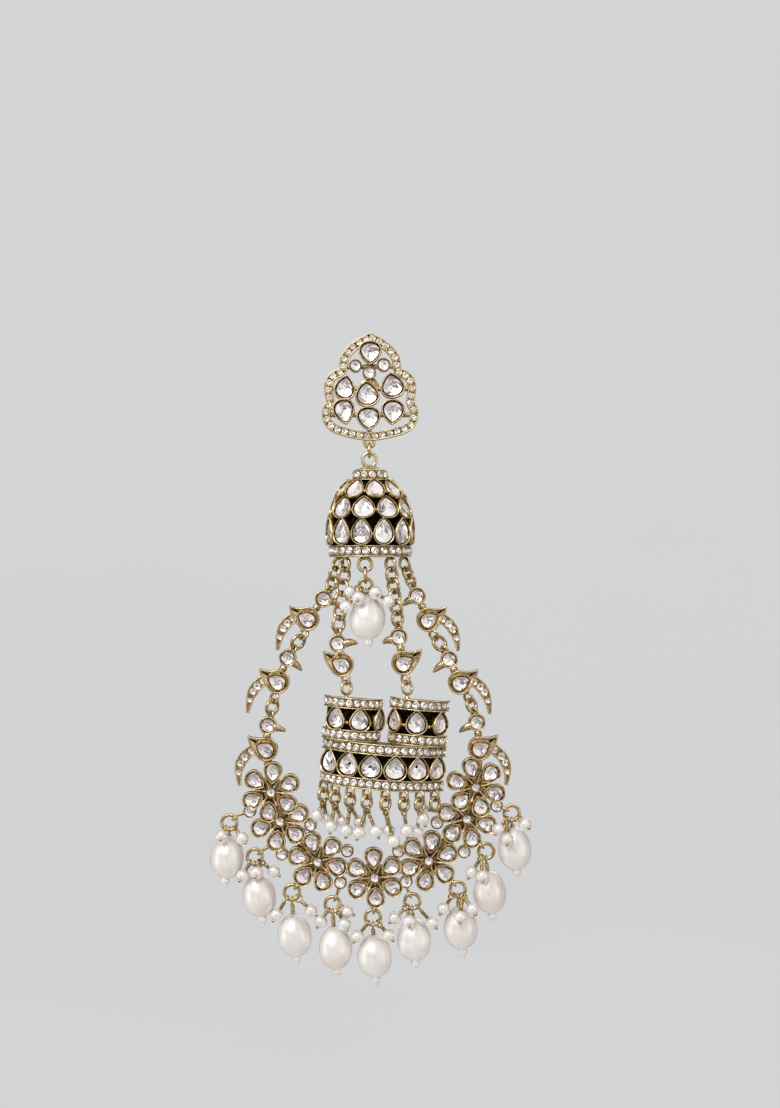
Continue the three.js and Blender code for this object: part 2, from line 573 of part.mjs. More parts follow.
function fringeLoop(x) {
  const base = DRUMS[DRUMS.length - 1];
  const radius = base.r - PANEL.wall / 2;
  const y = base.axisY - Math.sqrt(radius ** 2 - (x - base.x) ** 2);
  const centre = at(x, y, base.bottom - FRINGE.lift).applyMatrix4(panelFrame);
  return { centre, way: at(0, 0, -1), turn: FRINGE.turn, r: FRINGE.loopR };
}

function addPanel() {
  const parts = DRUMS.flatMap(drumParts).map((part) => part.applyMatrix4(panelFrame));
  const tops = [chains.panel_left, chains.panel_right].map(({ bottom }, i) => {
    const across = bottom.centre.x - PANEL_AT.x;
    const foot = at(across, 0, DRUMS[i].top - PANEL.deckT).applyMatrix4(panelFrame);
    return rootedLoop(bottom, bottom.centre.x, foot.z);
  });
  const loops = FRINGE_AT.map((x) => ring(fringeLoop(x)));
  addPiece(hanging, "panel", toGeometry(solder([...parts, ...tops.flat(), ...loops])), GOLD);
}

// ---- Crescent -----------------------------------------------------------------------

function petalRows() {
  return FLOWERS.flatMap(({ x, z, phase, petals }) => petals.map((k) => {
    const way = degrees(phase - 60 * k);
    return {
      x: x + PETAL.reach * Math.cos(way), z: z + PETAL.reach * Math.sin(way),
      length: PETAL.length, width: PETAL.width, pointAt: phase - 60 * k + 180,
    };
  }));
}

function nearest(rows, x, z) {
  const gap = (row) => Math.hypot(row.x - x, row.z - z);
  return rows.reduce((best, row) => (gap(row) < gap(best) ? row : best));
}

function dropHook(row) {
  const ringCentre = at(row.ringX, CHAIN_Y, row.ringZ);
  const up = at(row.hookX, CHAIN_Y, row.hookZ).sub(ringCentre).normalize();
  const centre = ringCentre.clone().addScaledVector(up, DROP_RING_R + EYE_R - BITE);
  return { centre, way: up.negate(), turn: 90, r: EYE_R };
}

function addCrescent() {
  const front = CHAIN_Y - BEZEL_T / 2;
  const back = CHAIN_Y + BEZEL_T / 2;
  const petals = petalRows();
  const parts = petals.map((row) => plate(teardrop(row, 0, FACETS.petal), front, back));
  for (const { x, z } of FLOWERS) {
    parts.push(plate(circle(x, z, FLOWER.eyeR), front, back));
    parts.push(plate(circle(x, z, FLOWER.backR), back - BACK_T, back));
  }
  for (let i = 1; i < FLOWERS.length; i += 1) {
    const [a, b] = [FLOWERS[i - 1], FLOWERS[i]];
    parts.push(bar(a.x, a.z, b.x, b.z, BACK_BAR.flower, back - BACK_T, back));
  }
  for (const { x, z } of CRESCENT_ROUNDS) {
    const petal = nearest(petals, x, z);
    parts.push(plate(circle(x, z, ROUND_R), front, back));
    parts.push(bar(x, z, petal.x, petal.z, BACK_BAR.round, back - BACK_T, back));
  }
  CRESCENT_BIRDS.forEach((row, i) => {
    const flower = FLOWERS[i ? FLOWERS.length - 1 : 0];
    const { bottom } = chains[row.chain];
    parts.push(...birdParts(row, CHAIN_Y, TAILS.lying));
    parts.push(bar(row.x, row.z, flower.x, flower.z, BACK_BAR.flower, back - BACK_T, back));
    parts.push(...rootedLoop(bottom, row.x + row.headX, row.z + row.headZ));
  });
  for (const row of DROPS) {
    const hook = dropHook(row);
    const carrier = nearest([...petals, ...CRESCENT_ROUNDS], hook.centre.x, hook.centre.z);
    parts.push(...rootedLoop(hook, carrier.x, carrier.z));
  }
  addPiece(hanging, "crescent", toGeometry(solder(parts)), GOLD);
}

// ---- Pearls and seed clusters -------------------------------------------------------

// A drop pearl with its pin and eye, upright, with the pearl's middle at the origin.
function pearlDrop(size, eyeZ) {
  const steps = FACETS.pearlDown;
  const half = size.length / 2;
  const outline = [];
  for (let i = 0; i <= steps; i += 1) {
    const t = Math.PI * (1 - i / steps);
    const swell = 1 - 0.08 * Math.cos(t);
    outline.push(new THREE.Vector2((size.width / 2) * Math.sin(t) * swell, half * Math.cos(t)));
  }
  outline[0].x = 0;
  outline[steps].x = 0;
  const body = new THREE.LatheGeometry(outline, FACETS.pearlAround).rotateX(Math.PI / 2);
  const tipZ = -half - size.tipR * 0.6;
  const eye = { centre: at(0, 0, eyeZ), way: at(0, 0, -1), turn: 90, r: EYE_R };
  return solder([
    body, ball(0, 0, tipZ, size.tipR),
    rod(at(0, 0, half * 0.8), at(0, 0, eyeZ - EYE_R), PIN_R), ring(eye),
  ]);
}

// How far in front of the ring's plane a seed lies, so that it rests on the pearl.
function seedDepth(seed, drop, turn, size) {
  const dx = seed.x - drop.x;
  const dz = seed.z - drop.z;
  const across = dx * Math.cos(turn) - dz * Math.sin(turn);
  const along = dx * Math.sin(turn) + dz * Math.cos(turn);
  const room = SEED_R + 2 * SEAT_GAP;
  const wide = size.width / 2 * 1.05 + room;
  const tall = size.length / 2 + room;
  const level = 1 - (along / tall) ** 2;
  const onPearl = level > 0 ? wide * wide * level - across * across : 0;
  const pin = room + PIN_R;
  const onPin = pin * pin - across * across;
  return -Math.sqrt(Math.max(onPearl, onPin, 0));
}

// Where a head pin leaves a face-on ring: towards the seed, but clear of the pearl's eye.
function besideEye(ringR, dx, dz) {
  const angle = Math.atan2(dx, -dz);
  const clear = Math.max(Math.abs(angle), ROOT_CLEAR) * (angle < 0 ? -1 : 1);
  return at(ringR * Math.sin(clear), 0, -ringR * Math.cos(clear));
}

function atRingBottom(ringR) {
  return at(0, 0, -ringR);
}

function seedCluster(name, centre, ringR, turn, depthOf, rootOf) {
  const parts = [ring({ centre, way: at(0, 0, -1), turn, r: ringR })];
  for (const seed of SEEDS.filter((row) => row.on === name)) {
    const middle = at(seed.x, centre.y + depthOf(seed), seed.z);
    const root = centre.clone().add(rootOf(ringR, seed.x - centre.x, seed.z - centre.z));
    parts.push(ball(middle.x, middle.y, middle.z, SEED_R), rod(root, middle, HEAD_PIN_R));
  }
  return solder(parts);
}

function addDrop(row, size, ringCentre, ringR) {
  const eye = ringCentre.clone().add(at(0, 0, -(ringR + EYE_R - BITE)));
  const reach = Math.hypot(eye.x - row.x, eye.z - row.z);
  const turn = Math.atan2(eye.x - row.x, eye.z - row.z);
  const pearl = addPiece(hanging, `${row.name}_pearl`, toGeometry(pearlDrop(size, reach)), NACRE);
  pearl.position.set(row.x, ringCentre.y, row.z);
  pearl.rotation.y = turn;
  const depthOf = (seed) => seedDepth(seed, row, turn, size);
  const cluster = seedCluster(row.name, ringCentre, ringR, 0, depthOf, besideEye);
  addPiece(hanging, `${row.name}_seeds`, toGeometry(cluster), NACRE);
}

function addDrops() {
  for (const row of DROPS) {
    addDrop(row, PEARL, at(row.ringX, CHAIN_Y, row.ringZ), DROP_RING_R);
  }
  const { bottom } = chains.centre_pearl;
  addDrop({ name: "centre_pearl", ...CENTRE_PEARL }, CENTRE_PEARL, bottom.centre, bottom.r);
}

function addFringe() {
  FRINGE_AT.forEach((x, i) => {
    const loop = fringeLoop(x);
    const drop = FRINGE.loopR + FRINGE.ringR - BITE;
    const centre = loop.centre.clone().add(at(0, 0, -drop));
    const name = `fringe_${i + 1}`;
    const turn = FRINGE.turn + 90;
    const cluster = seedCluster(name, centre, FRINGE.ringR, turn, (seed) => seed.back,
      atRingBottom);
    addPiece(hanging, name, toGeometry(cluster), NACRE);
  });
}

addStud();
addDome();
addChains();
addBirds();
addPanel();
addCrescent();
addDrops();
addFringe();

export default earring;
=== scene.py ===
"""Looks of a chandbali earring: cast gold settings, foil-backed stones, pearls and jump rings.

Lengths are in millimetres until a piece is made. The frame is the CAD model's: +Z is up, -Y is
the front, and the origin is where the ear post leaves the stud.
"""

import logging
import math
from dataclasses import dataclass, field
from enum import Enum
from typing import Callable, Iterable, Optional, Sequence

import bpy
import numpy as np
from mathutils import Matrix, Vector

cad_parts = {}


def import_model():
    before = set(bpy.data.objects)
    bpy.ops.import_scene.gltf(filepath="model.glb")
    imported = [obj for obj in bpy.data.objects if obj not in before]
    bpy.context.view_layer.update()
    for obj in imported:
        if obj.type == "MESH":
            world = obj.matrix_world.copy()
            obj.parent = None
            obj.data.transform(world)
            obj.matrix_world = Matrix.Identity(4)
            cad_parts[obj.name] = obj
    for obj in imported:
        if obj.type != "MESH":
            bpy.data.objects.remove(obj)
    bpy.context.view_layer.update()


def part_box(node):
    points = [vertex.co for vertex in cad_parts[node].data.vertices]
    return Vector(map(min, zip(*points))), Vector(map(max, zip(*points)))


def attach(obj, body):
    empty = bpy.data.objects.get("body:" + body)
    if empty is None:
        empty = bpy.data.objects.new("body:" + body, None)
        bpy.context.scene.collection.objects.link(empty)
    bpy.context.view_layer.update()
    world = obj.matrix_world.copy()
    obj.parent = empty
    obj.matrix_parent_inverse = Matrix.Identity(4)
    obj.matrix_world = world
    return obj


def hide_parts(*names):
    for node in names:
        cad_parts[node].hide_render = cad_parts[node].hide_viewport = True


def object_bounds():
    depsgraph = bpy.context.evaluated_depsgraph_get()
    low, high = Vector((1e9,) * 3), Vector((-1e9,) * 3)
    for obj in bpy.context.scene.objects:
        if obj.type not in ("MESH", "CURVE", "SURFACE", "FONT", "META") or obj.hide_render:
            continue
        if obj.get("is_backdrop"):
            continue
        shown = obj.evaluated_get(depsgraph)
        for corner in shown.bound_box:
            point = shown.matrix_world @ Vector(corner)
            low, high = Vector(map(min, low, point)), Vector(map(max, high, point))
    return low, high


LOG = logging.getLogger("earring")

MM = 0.001
HANG_Y = -0.8           # plane of the jump ring and of the pieces' own tables
CHAIN_Y = 1.4           # middle of the outer chains, the crescent and its drops
INNER_Y = -5.8          # middle of the inner birds
BITE = 0.75             # how far one ring reaches into the next
EYE_R = 0.8             # eye of a pearl's pin
WIRE_R = 0.41           # jump ring wire
JUMP_GAP = 0.16         # cut of a jump ring
GAP_AT = 8.0            # where the cut is, in degrees round the ring
SEED_R = 1.5            # seed pearls
DOME_RIM_Z = -41.0      # loops under the dome
PEAR_POINT = 0.62       # 1 draws a pear's end out to a sharp point, and less a rounder one
WIRE_END = 0.45         # how far a wire's end bulges, as a share of its radius
LINK_POINTS = 34        # points along a ring of a chain
WRAP_POINTS = 14        # points in one turn of a wrapped wire
SHARP_EDGE = 50.0       # degrees from which an edge of smooth metal is kept sharp
TONE = "tone"           # vertex attribute: tarnish and painted shade of gold, tint of a stone or a pearl
FULL_TURN = 2.0 * math.pi
RIGHT, BACK, UP = np.eye(3)
DOWN = np.array([0.0, 0.0, -1.0])
ORIGIN = np.zeros(3)

Array = np.ndarray
Outline = Callable[[float], Array]
Shape = Callable[[int], Outline]
Socket = bpy.types.NodeSocket
Pair = tuple[float, float]
Triple = tuple[float, float, float]


class Body(Enum):
    """The moving bodies that pieces ride on."""

    STUD = "stud"
    LINK = "link"
    DROP = "drop"


class Slot(Enum):
    """The record's material slots."""

    GOLD = "antique_gold"
    CRYSTAL = "crystal"
    PEARL = "pearl"
    SEED = "seed_pearl"


# ---- Places and outlines ----


def unit(vector: Sequence[float]) -> Array:
    """Returns the vector at length one."""
    array = np.asarray(vector, dtype=float)
    return array / np.linalg.norm(array)


@dataclass(frozen=True)
class Seat:
    """Where something sits: its middle, its right and its up. Its front is right x up."""

    middle: Array
    right: Array
    up: Array

    @property
    def out(self) -> Array:
        """The way that its front faces."""
        return np.cross(self.right, self.up)

    @classmethod
    def facing_front(cls, x: float, y: float, z: float) -> "Seat":
        """Returns a seat whose front faces -Y and whose up is +Z."""
        return cls(np.array([x, y, z], float), RIGHT, UP)

    @classmethod
    def along(cls, middle: Sequence[float], way: Sequence[float]) -> "Seat":
        """Returns a seat whose front faces a given way.

        Args:
            middle: The seat's middle.
            way: The way that its front faces.

        Returns:
            The seat, its right square to +Y where it can be.
        """
        out = unit(way)
        right = unit(np.cross(BACK if abs(out[1]) < 0.9 else RIGHT, out))
        return cls(np.asarray(middle, float), right, np.cross(out, right))

    def place(self, points: Array) -> Array:
        """Returns points of the seat's own right, up and out, placed in the frame."""
        return self.middle + np.asarray(points, float) @ np.stack([self.right, self.up, self.out])

    def moved(self, right: float = 0.0, up: float = 0.0, out: float = 0.0) -> "Seat":
        """Returns the seat moved in its own directions."""
        return Seat(self.place(np.array([right, up, out])), self.right, self.up)

    def turned(self, degrees: float) -> "Seat":
        """Returns the seat turned counter-clockwise about its front."""
        cos, sin = math.cos(math.radians(degrees)), math.sin(math.radians(degrees))
        return Seat(self.middle, cos * self.right + sin * self.up,
                    cos * self.up - sin * self.right)


def angles(count: int, start: float = 0.0) -> Array:
    """Returns evenly spaced angles round one turn, in radians."""
    return start + FULL_TURN * np.arange(count) / count


def round_points(turn: Array, radius: float | Array) -> Array:
    """Returns flat points at angles in radians, at one radius or at one for each."""
    return np.stack([radius * np.cos(turn), radius * np.sin(turn)], axis=-1)


def raised(flat: Array, height: float) -> Array:
    """Returns flat points with a height as their third number."""
    return np.column_stack([flat, np.full(len(flat), height)])


def upright(flat: Array, y: float) -> Array:
    """Returns flat points stood up at a depth, so that they hold x and z."""
    return np.column_stack([flat[:, 0], np.full(len(flat), y), flat[:, 1]])


def disc(radius: float) -> Shape:
    """Returns a shape that gives round outlines of any number of points, at any inset."""
    return lambda count: lambda inset: round_points(angles(count), radius - inset)


def pear(length: float, width: float) -> Shape:
    """Makes a pear shape whose narrow end points along its own right.

    Args:
        length: Length over the point and the round end.
        width: Width at the widest place.

    Returns:
        A shape that gives counter-clockwise outlines of any number of points, at any inset.
    """
    def outline_of(count: int) -> Outline:
        """Makes the outline with a number of points.

        Args:
            count: The number of points.

        Returns:
            The outline, at any inset.
        """
        turn = angles(count)
        side = np.sin(turn) * np.abs(np.sin(turn / 2)) ** PEAR_POINT
        side = side / np.abs(side).max()
        return lambda inset: np.stack([(length / 2 - inset) * np.cos(turn),
                                       (width / 2 - inset) * side], axis=1)

    return outline_of


def inward(outline: Array, distance: float) -> Array:
    """Moves each point of a closed counter-clockwise outline inwards along its own normal.

    Args:
        outline: Points round the outline.
        distance: How far they move.

    Returns:
        The points of the smaller outline.
    """
    along = np.roll(outline, -1, axis=0) - np.roll(outline, 1, axis=0)
    along /= np.linalg.norm(along, axis=1, keepdims=True)
    return outline + distance * np.stack([-along[:, 1], along[:, 0]], axis=1)


def resampled(outline: Array, count: int) -> Array:
    """Spaces points evenly round a closed outline.

    Args:
        outline: The outline's points.
        count: How many points to return.

    Returns:
        The evenly spaced points.
    """
    points = np.vstack([outline, outline[:1]])
    gone = np.concatenate([[0.0], np.cumsum(np.linalg.norm(np.diff(points, axis=0), axis=1))])
    wanted = np.linspace(0.0, gone[-1], count, endpoint=False)
    return np.stack([np.interp(wanted, gone, column) for column in points.T], axis=1)


def bent(start: Sequence[float], bend: Sequence[float], end: Sequence[float],
         count: int) -> Array:
    """Draws a curve between two points.

    Args:
        start: Its first point.
        bend: The point that it leans towards.
        end: Its last point.
        count: How many points it has.

    Returns:
        The points of the curve.
    """
    share = np.linspace(0.0, 1.0, count)[:, None]
    start, bend, end = (np.asarray(point, float) for point in (start, bend, end))
    return (1 - share) ** 2 * start + 2 * share * (1 - share) * bend + share ** 2 * end


def coil(seat: Seat, start: float, end: float, radius: float, turns: float) -> Array:
    """Draws the path of a wrapped wire round a pin.

    Args:
        seat: Its front runs along the pin, and distances count from it.
        start: Where the wrap starts.
        end: Where it ends.
        radius: Radius of the wrap.
        turns: How many turns it has.

    Returns:
        The points of the wrap.
    """
    count = int(WRAP_POINTS * turns)
    spun = round_points(np.linspace(0.0, FULL_TURN * turns, count), radius)
    return seat.place(np.column_stack([spun, np.linspace(start, end, count)]))


# ---- Making meshes ----


class Bench:
    """Gathers the surfaces of one piece, with a tone for each vertex, and makes its mesh."""

    def __init__(self) -> None:
        """Starts with nothing on the bench."""
        self._points: list[Array] = []
        self._tones: list[Array] = []
        self._quads: list[Array] = []
        self._triangles: list[Array] = []
        self._count = 0

    def _lay(self, points: Array, tones: Array) -> int:
        """Adds loose vertices.

        Args:
            points: The vertices.
            tones: One tone for all, or one for each.

        Returns:
            The number of the first one.
        """
        self._points.append(points)
        self._tones.append(np.clip(np.broadcast_to(tones, (len(points),)), 0.0, 1.0))
        self._count += len(points)
        return self._count - len(points)

    def shell(self, rows: Array, tones: Sequence[float] | float = 0.0,
              first_tip: Optional[Array] = None, last_tip: Optional[Array] = None,
              closed: bool = False) -> None:
        """Adds a surface through rings of points, each ring closed on itself.

        Args:
            rows: Points by ring, then round the ring, counter-clockwise as seen from the
                side that the rings move towards, when each ring lies inside the last.
            tones: One tone for all, or one for each ring.
            first_tip: A point that closes the surface before the first ring.
            last_tip: A point that closes it after the last ring.
            closed: True if the last ring joins the first.
        """
        count, sides = rows.shape[:2]
        ring_tones = np.broadcast_to(tones, (count,))
        first = self._lay(rows.reshape(-1, 3), np.repeat(ring_tones, sides))
        ring = np.arange(count if closed else count - 1)[:, None]
        column = np.arange(sides)[None, :]
        next_ring, next_column = (ring + 1) % count, (column + 1) % sides
        corners = [(ring, column), (ring, next_column), (next_ring, next_column),
                   (next_ring, column)]
        quads = np.stack([(r * sides + c).ravel() for r, c in corners], axis=1)
        self._quads.append(quads + first)
        for tip, start, flipped in ((first_tip, 0, True), (last_tip, count - 1, False)):
            if tip is None:
                continue
            apex = self._lay(np.asarray(tip, float)[None, :], ring_tones[start])
            here = first + start * sides + np.arange(sides)
            after = np.roll(here, -1)
            pair = (after, here) if flipped else (here, after)
            self._triangles.append(np.stack([*pair, np.full(sides, apex)], axis=1))

    def strip(self, rows: Array, tone: float) -> None:
        """Adds a bar through rings of corners, both of its ends closed flat."""
        self.shell(rows, tone, rows[0].mean(axis=0), rows[-1].mean(axis=0))

    def profiled(self, seat: Seat, outline: Outline, profile: Sequence[tuple[float, ...]],
                 back: bool = True, front: bool = False, dome: float = 0.0) -> None:
        """Adds a wall whose profile runs round an outline.

        Args:
            seat: Where the outline lies. Heights count along the seat's front.
            outline: Gives the outline at an inset.
            profile: Rows of inset, height and tone, from the back edge over to the inside.
            back: True closes the back.
            front: True closes the front inside the last row.
            dome: How far the middle of each closing surface stands beyond its edge.
        """
        rows = [seat.place(raised(outline(inset), height)) for inset, height, _ in profile]
        first_tip = seat.moved(out=profile[0][1] - dome).middle if back else None
        last_tip = seat.moved(out=profile[-1][1] + dome).middle if front else None
        self.shell(np.stack(rows), [row[2] for row in profile], first_tip, last_tip)

    def turned(self, seat: Seat, profile: Sequence[Pair], sides: int,
               tones: Sequence[float] | float = 0.0,
               tips: Sequence[Optional[float]] = (None, None), closed: bool = False) -> None:
        """Adds a turned form about the seat's front.

        Args:
            seat: Its axis is the seat's out.
            profile: Rows of radius and height, from the back to the front.
            sides: Points round the form.
            tones: One tone, or one for each row.
            tips: Heights of the points that close the back and the front.
            closed: True joins the last row to the first.
        """
        ring = raised(round_points(angles(sides), 1.0), 0.0)
        rows = np.stack([seat.place(ring * radius + UP * height) for radius, height in profile])
        ends = [None if height is None else seat.moved(out=height).middle for height in tips]
        self.shell(rows, tones, *ends, closed)

    def ball(self, middle: Sequence[float], radius: float, sides: int = 12, tone: float = 0.0,
             stretch: float = 1.0, way: Sequence[float] = (0.0, 0.0, 1.0)) -> None:
        """Adds a ball.

        Args:
            middle: Its middle.
            radius: Its radius.
            sides: Points round it.
            tone: Its tone.
            stretch: Its length along its way, as a share of its width.
            way: The way that it is stretched.
        """
        down = np.linspace(math.pi, 0.0, sides // 2 + 1)[1:-1]
        profile = [(radius * math.sin(a), stretch * radius * math.cos(a)) for a in down]
        tips = (-stretch * radius, stretch * radius)
        self.turned(Seat.along(middle, way), profile, sides, tone, tips)

    def wire(self, path: Array, radius: float | Array, closed: bool = False, sides: int = 10,
             tone: float | Array = 0.0, flatness: float = 1.0) -> None:
        """Adds a round wire along a path.

        Args:
            path: Points along the middle of the wire.
            radius: One radius, or one for each point.
            closed: True if the wire's end joins its start.
            sides: Points round the wire.
            tone: One tone, or one for each point.
            flatness: Second radius of the section as a share of the first.
        """
        way = (np.roll(path, -1, axis=0) - np.roll(path, 1, axis=0) if closed
               else np.gradient(path, axis=0))
        way /= np.linalg.norm(way, axis=1, keepdims=True)
        helper = unit(np.cross(way[0], [0.31, 0.94, 0.12]))     # any way but the path's own
        sideways = []
        for step in way:
            helper = unit(helper - step * np.dot(helper, step))
            sideways.append(helper)
        across = np.stack(sideways)
        over = np.cross(way, across)
        turn = angles(sides)
        size = np.broadcast_to(radius, (len(path),))[:, None, None]
        ring = (np.cos(turn)[None, :, None] * across[:, None, :]
                + flatness * np.sin(turn)[None, :, None] * over[:, None, :])
        bulge = WIRE_END * size[:, 0]
        ends = (None, None) if closed else (path[0] - way[0] * bulge[0],
                                            path[-1] + way[-1] * bulge[-1])
        self.shell(path[:, None, :] + size * ring, tone, *ends, closed)

    def ring(self, seat: Seat, radius: float, wire: float, gap: float = 0.0, count: int = 36,
             sides: int = 10, tone: float = 0.0, gap_at: float = 90.0) -> None:
        """Adds a round ring in the seat's plane, cut open where gap is not nothing.

        Args:
            seat: The ring's middle and plane.
            radius: Radius of the wire's middle.
            wire: Radius of the wire.
            gap: Width of the cut between the wire's ends.
            count: Points along the ring.
            sides: Points round the wire.
            tone: The ring's tone.
            gap_at: Where the cut is, in degrees from the seat's right.
        """
        half, start = gap / (2 * radius), math.radians(gap_at)
        turn = (np.linspace(start + half, start + FULL_TURN - half, count) if gap
                else angles(count, start))
        path = seat.place(raised(round_points(turn, radius), 0.0))
        self.wire(path, wire, not gap, sides, tone)

    def mesh(self, name: str, finish: "Finish") -> bpy.types.Object:
        """Makes an object from all that was gathered.

        Args:
            name: The object's name.
            finish: Its finish.

        Returns:
            The object, in the scene.
        """
        points = np.concatenate(self._points) * MM
        faces = [face for part in (*self._quads, *self._triangles) for face in part.tolist()]
        mesh = bpy.data.meshes.new(name)
        mesh.from_pydata(points.tolist(), [], faces)
        mesh.polygons.foreach_set("use_smooth", np.full(len(faces), not finish.cut))
        tones = mesh.attributes.new(TONE, "FLOAT", "POINT")
        tones.data.foreach_set("value", np.concatenate(self._tones).astype(np.float32))
        if not finish.cut:
            mesh.set_sharp_from_angle(angle=math.radians(SHARP_EDGE))
        mesh.materials.append(finish.material())
        return put_in_scene(name, mesh)

    def piece(self, name: str, finish: "Finish", body: Body, *nodes: str) -> None:
        """Makes a piece from all that was gathered.

        Args:
            name: The piece's name.
            finish: Its finish.
            body: The body that it rides on.
            *nodes: The CAD nodes that it stands for.
        """
        made = self.mesh(name, finish)
        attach(made, body.value)
        if nodes:
            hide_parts(*nodes)
        LOG.info("%s: %d faces on %s", name, len(made.data.polygons), body.value)


def put_in_scene(name: str, data: bpy.types.ID) -> bpy.types.Object:
    """Makes an object and puts it in the scene.

    Args:
        name: The object's name.
        data: Its mesh, light or camera.

    Returns:
        The object.
    """
    made = bpy.data.objects.new(name, data)
    bpy.context.scene.collection.objects.link(made)
    return made


# ---- Finishes ----


class NodeBoard:
    """A short way to add nodes to one tree and to join them."""

    def __init__(self, tree: bpy.types.NodeTree) -> None:
        """Starts on a tree and empties it."""
        self.tree = tree
        tree.nodes.clear()

    def give(self, node: bpy.types.Node, inputs: dict) -> bpy.types.Node:
        """Feeds some of a node's inputs.

        Args:
            node: The node.
            inputs: Values, or sockets to join, by the input's name or number. A colour is
                three numbers.

        Returns:
            The node.
        """
        for key, value in inputs.items():
            socket = node.inputs[key]
            if isinstance(value, Socket):
                self.tree.links.new(value, socket)
            else:
                socket.default_value = (*value, 1.0) if socket.type == "RGBA" else value
        return node

    def add(self, kind: str, inputs: Optional[dict] = None, **settings: object) -> bpy.types.Node:
        """Adds a node.

        Args:
            kind: The node's type.
            inputs: What feeds its inputs, as in give.
            **settings: The node's own properties.

        Returns:
            The node.
        """
        node = self.tree.nodes.new(kind)
        for name, value in settings.items():
            setattr(node, name, value)
        return self.give(node, inputs or {})

    def noise(self, vector: Socket, scale: float | Socket, detail: float = 2.0) -> Socket:
        """Returns the value of a noise pattern."""
        inputs = {"Vector": vector, "Scale": scale, "Detail": detail}
        return self.add("ShaderNodeTexNoise", inputs).outputs["Fac"]

    def sum(self, operation: str, first: Socket, second: float | Socket,
            clamp: bool = False) -> Socket:
        """Returns the result of a sum on two values."""
        inputs = {0: first, 1: second}
        return self.add("ShaderNodeMath", inputs, operation=operation, use_clamp=clamp).outputs[0]

    def ranged(self, value: Socket, low: float, high: float, to_low: float = 0.0,
               to_high: float = 1.0) -> Socket:
        """Returns a value moved smoothly from one range to another."""
        inputs = {"Value": value, "From Min": low, "From Max": high, "To Min": to_low,
                  "To Max": to_high}
        return self.add("ShaderNodeMapRange", inputs, interpolation_type="SMOOTHSTEP").outputs[0]

    def mixed(self, share: Socket, first: object, second: object) -> Socket:
        """Returns a mix of two colours."""
        inputs = {0: share, 6: first, 7: second}
        return self.add("ShaderNodeMix", inputs, data_type="RGBA").outputs[2]


class MaterialBoard(NodeBoard):
    """The board of one material, with its Principled shader on it.

    Its vector is the piece's own coordinates, and its tone what the bench gave each vertex.
    """

    def __init__(self, material: bpy.types.Material) -> None:
        """Starts on a new material.

        Args:
            material: The material.
        """
        material.use_nodes = True
        super().__init__(material.node_tree)
        self.shader = self.add("ShaderNodeBsdfPrincipled")
        self.add("ShaderNodeOutputMaterial", {"Surface": self.shader.outputs[0]})
        self.vector = self.add("ShaderNodeTexCoord").outputs["Object"]
        self.tone = self.add("ShaderNodeAttribute", attribute_name=TONE).outputs["Fac"]

    def bump(self, height: Socket, distance: float, strength: float) -> Socket:
        """Returns a normal from a height, in metres at full strength."""
        inputs = {"Height": height, "Distance": distance, "Strength": strength}
        return self.add("ShaderNodeBump", inputs).outputs[0]


class Effect:
    """A shader effect shared by several finishes, as a node group that is built once."""

    name = "effect"
    takes: dict[str, str] = {}
    gives: dict[str, str] = {}

    @classmethod
    def group(cls) -> bpy.types.NodeTree:
        """Finds the effect's node group, or builds it the first time.

        Returns:
            The node group.
        """
        found = bpy.data.node_groups.get(cls.name)
        if found:
            return found
        tree = bpy.data.node_groups.new(cls.name, "ShaderNodeTree")
        for way, sockets in (("INPUT", cls.takes), ("OUTPUT", cls.gives)):
            for label, kind in sockets.items():
                tree.interface.new_socket(name=label, in_out=way,
                                          socket_type=f"NodeSocket{kind}")
        board = NodeBoard(tree)
        given = board.add("NodeGroupInput").outputs
        board.add("NodeGroupOutput", cls.build(board, given))
        return tree

    @classmethod
    def build(cls, board: NodeBoard, given: Sequence[Socket]) -> dict[str, Socket]:
        """Builds the group's nodes.

        Args:
            board: The group's tree.
            given: What the group takes, by name.

        Returns:
            What it gives, by name.
        """
        raise NotImplementedError

    @classmethod
    def placed(cls, board: NodeBoard, **inputs: object) -> Sequence[Socket]:
        """Places the effect in a material.

        Args:
            board: The material's tree.
            **inputs: What feeds it, by name, with _ for a space.

        Returns:
            What it gives, by name.
        """
        named = {key.replace("_", " "): value for key, value in inputs.items()}
        return board.add("ShaderNodeGroup", named, node_tree=cls.group()).outputs


class CastGrain(Effect):
    """Fine pits and soft unevenness of hand-finished metal."""

    name = "cast_grain"
    takes = {"Vector": "Vector", "Grain Scale": "Float", "Wave Scale": "Float"}
    gives = {"Height": "Float", "Mottle": "Float"}

    @classmethod
    def build(cls, board: NodeBoard, given: Sequence[Socket]) -> dict[str, Socket]:
        """Builds the nodes.

        Args:
            board: The group's tree.
            given: What the group takes, by name.

        Returns:
            What it gives, by name.
        """
        grain = board.noise(given["Vector"], given["Grain Scale"], 3.0)
        wave = board.noise(given["Vector"], given["Wave Scale"])
        height = board.sum("ADD", board.sum("MULTIPLY", grain, 0.35), wave)
        return {"Height": height, "Mottle": board.ranged(wave, 0.35, 0.68)}


class RecessTarnishAndShade(Effect):
    """Oxidised recesses with painted shade in recesses, on backs and between parts: a mask that is
    1 where the metal is drawn black.
    """

    name = "recess_tarnish_and_shade"
    takes = {"Amount": "Float", "Mottle": "Float", "Spread": "Float"}
    gives = {"Mask": "Float"}

    @classmethod
    def build(cls, board: NodeBoard, given: Sequence[Socket]) -> dict[str, Socket]:
        """Builds the nodes.

        Args:
            board: The group's tree.
            given: What the group takes, by name.

        Returns:
            What it gives, by name.
        """
        patch = board.sum("MULTIPLY", given["Mottle"], given["Spread"])
        wear = board.ranged(given["Mottle"], 0.0, 1.0, 0.8, 1.15)
        worn = board.sum("MULTIPLY", given["Amount"], wear)
        return {"Mask": board.sum("ADD", worn, patch, clamp=True)}


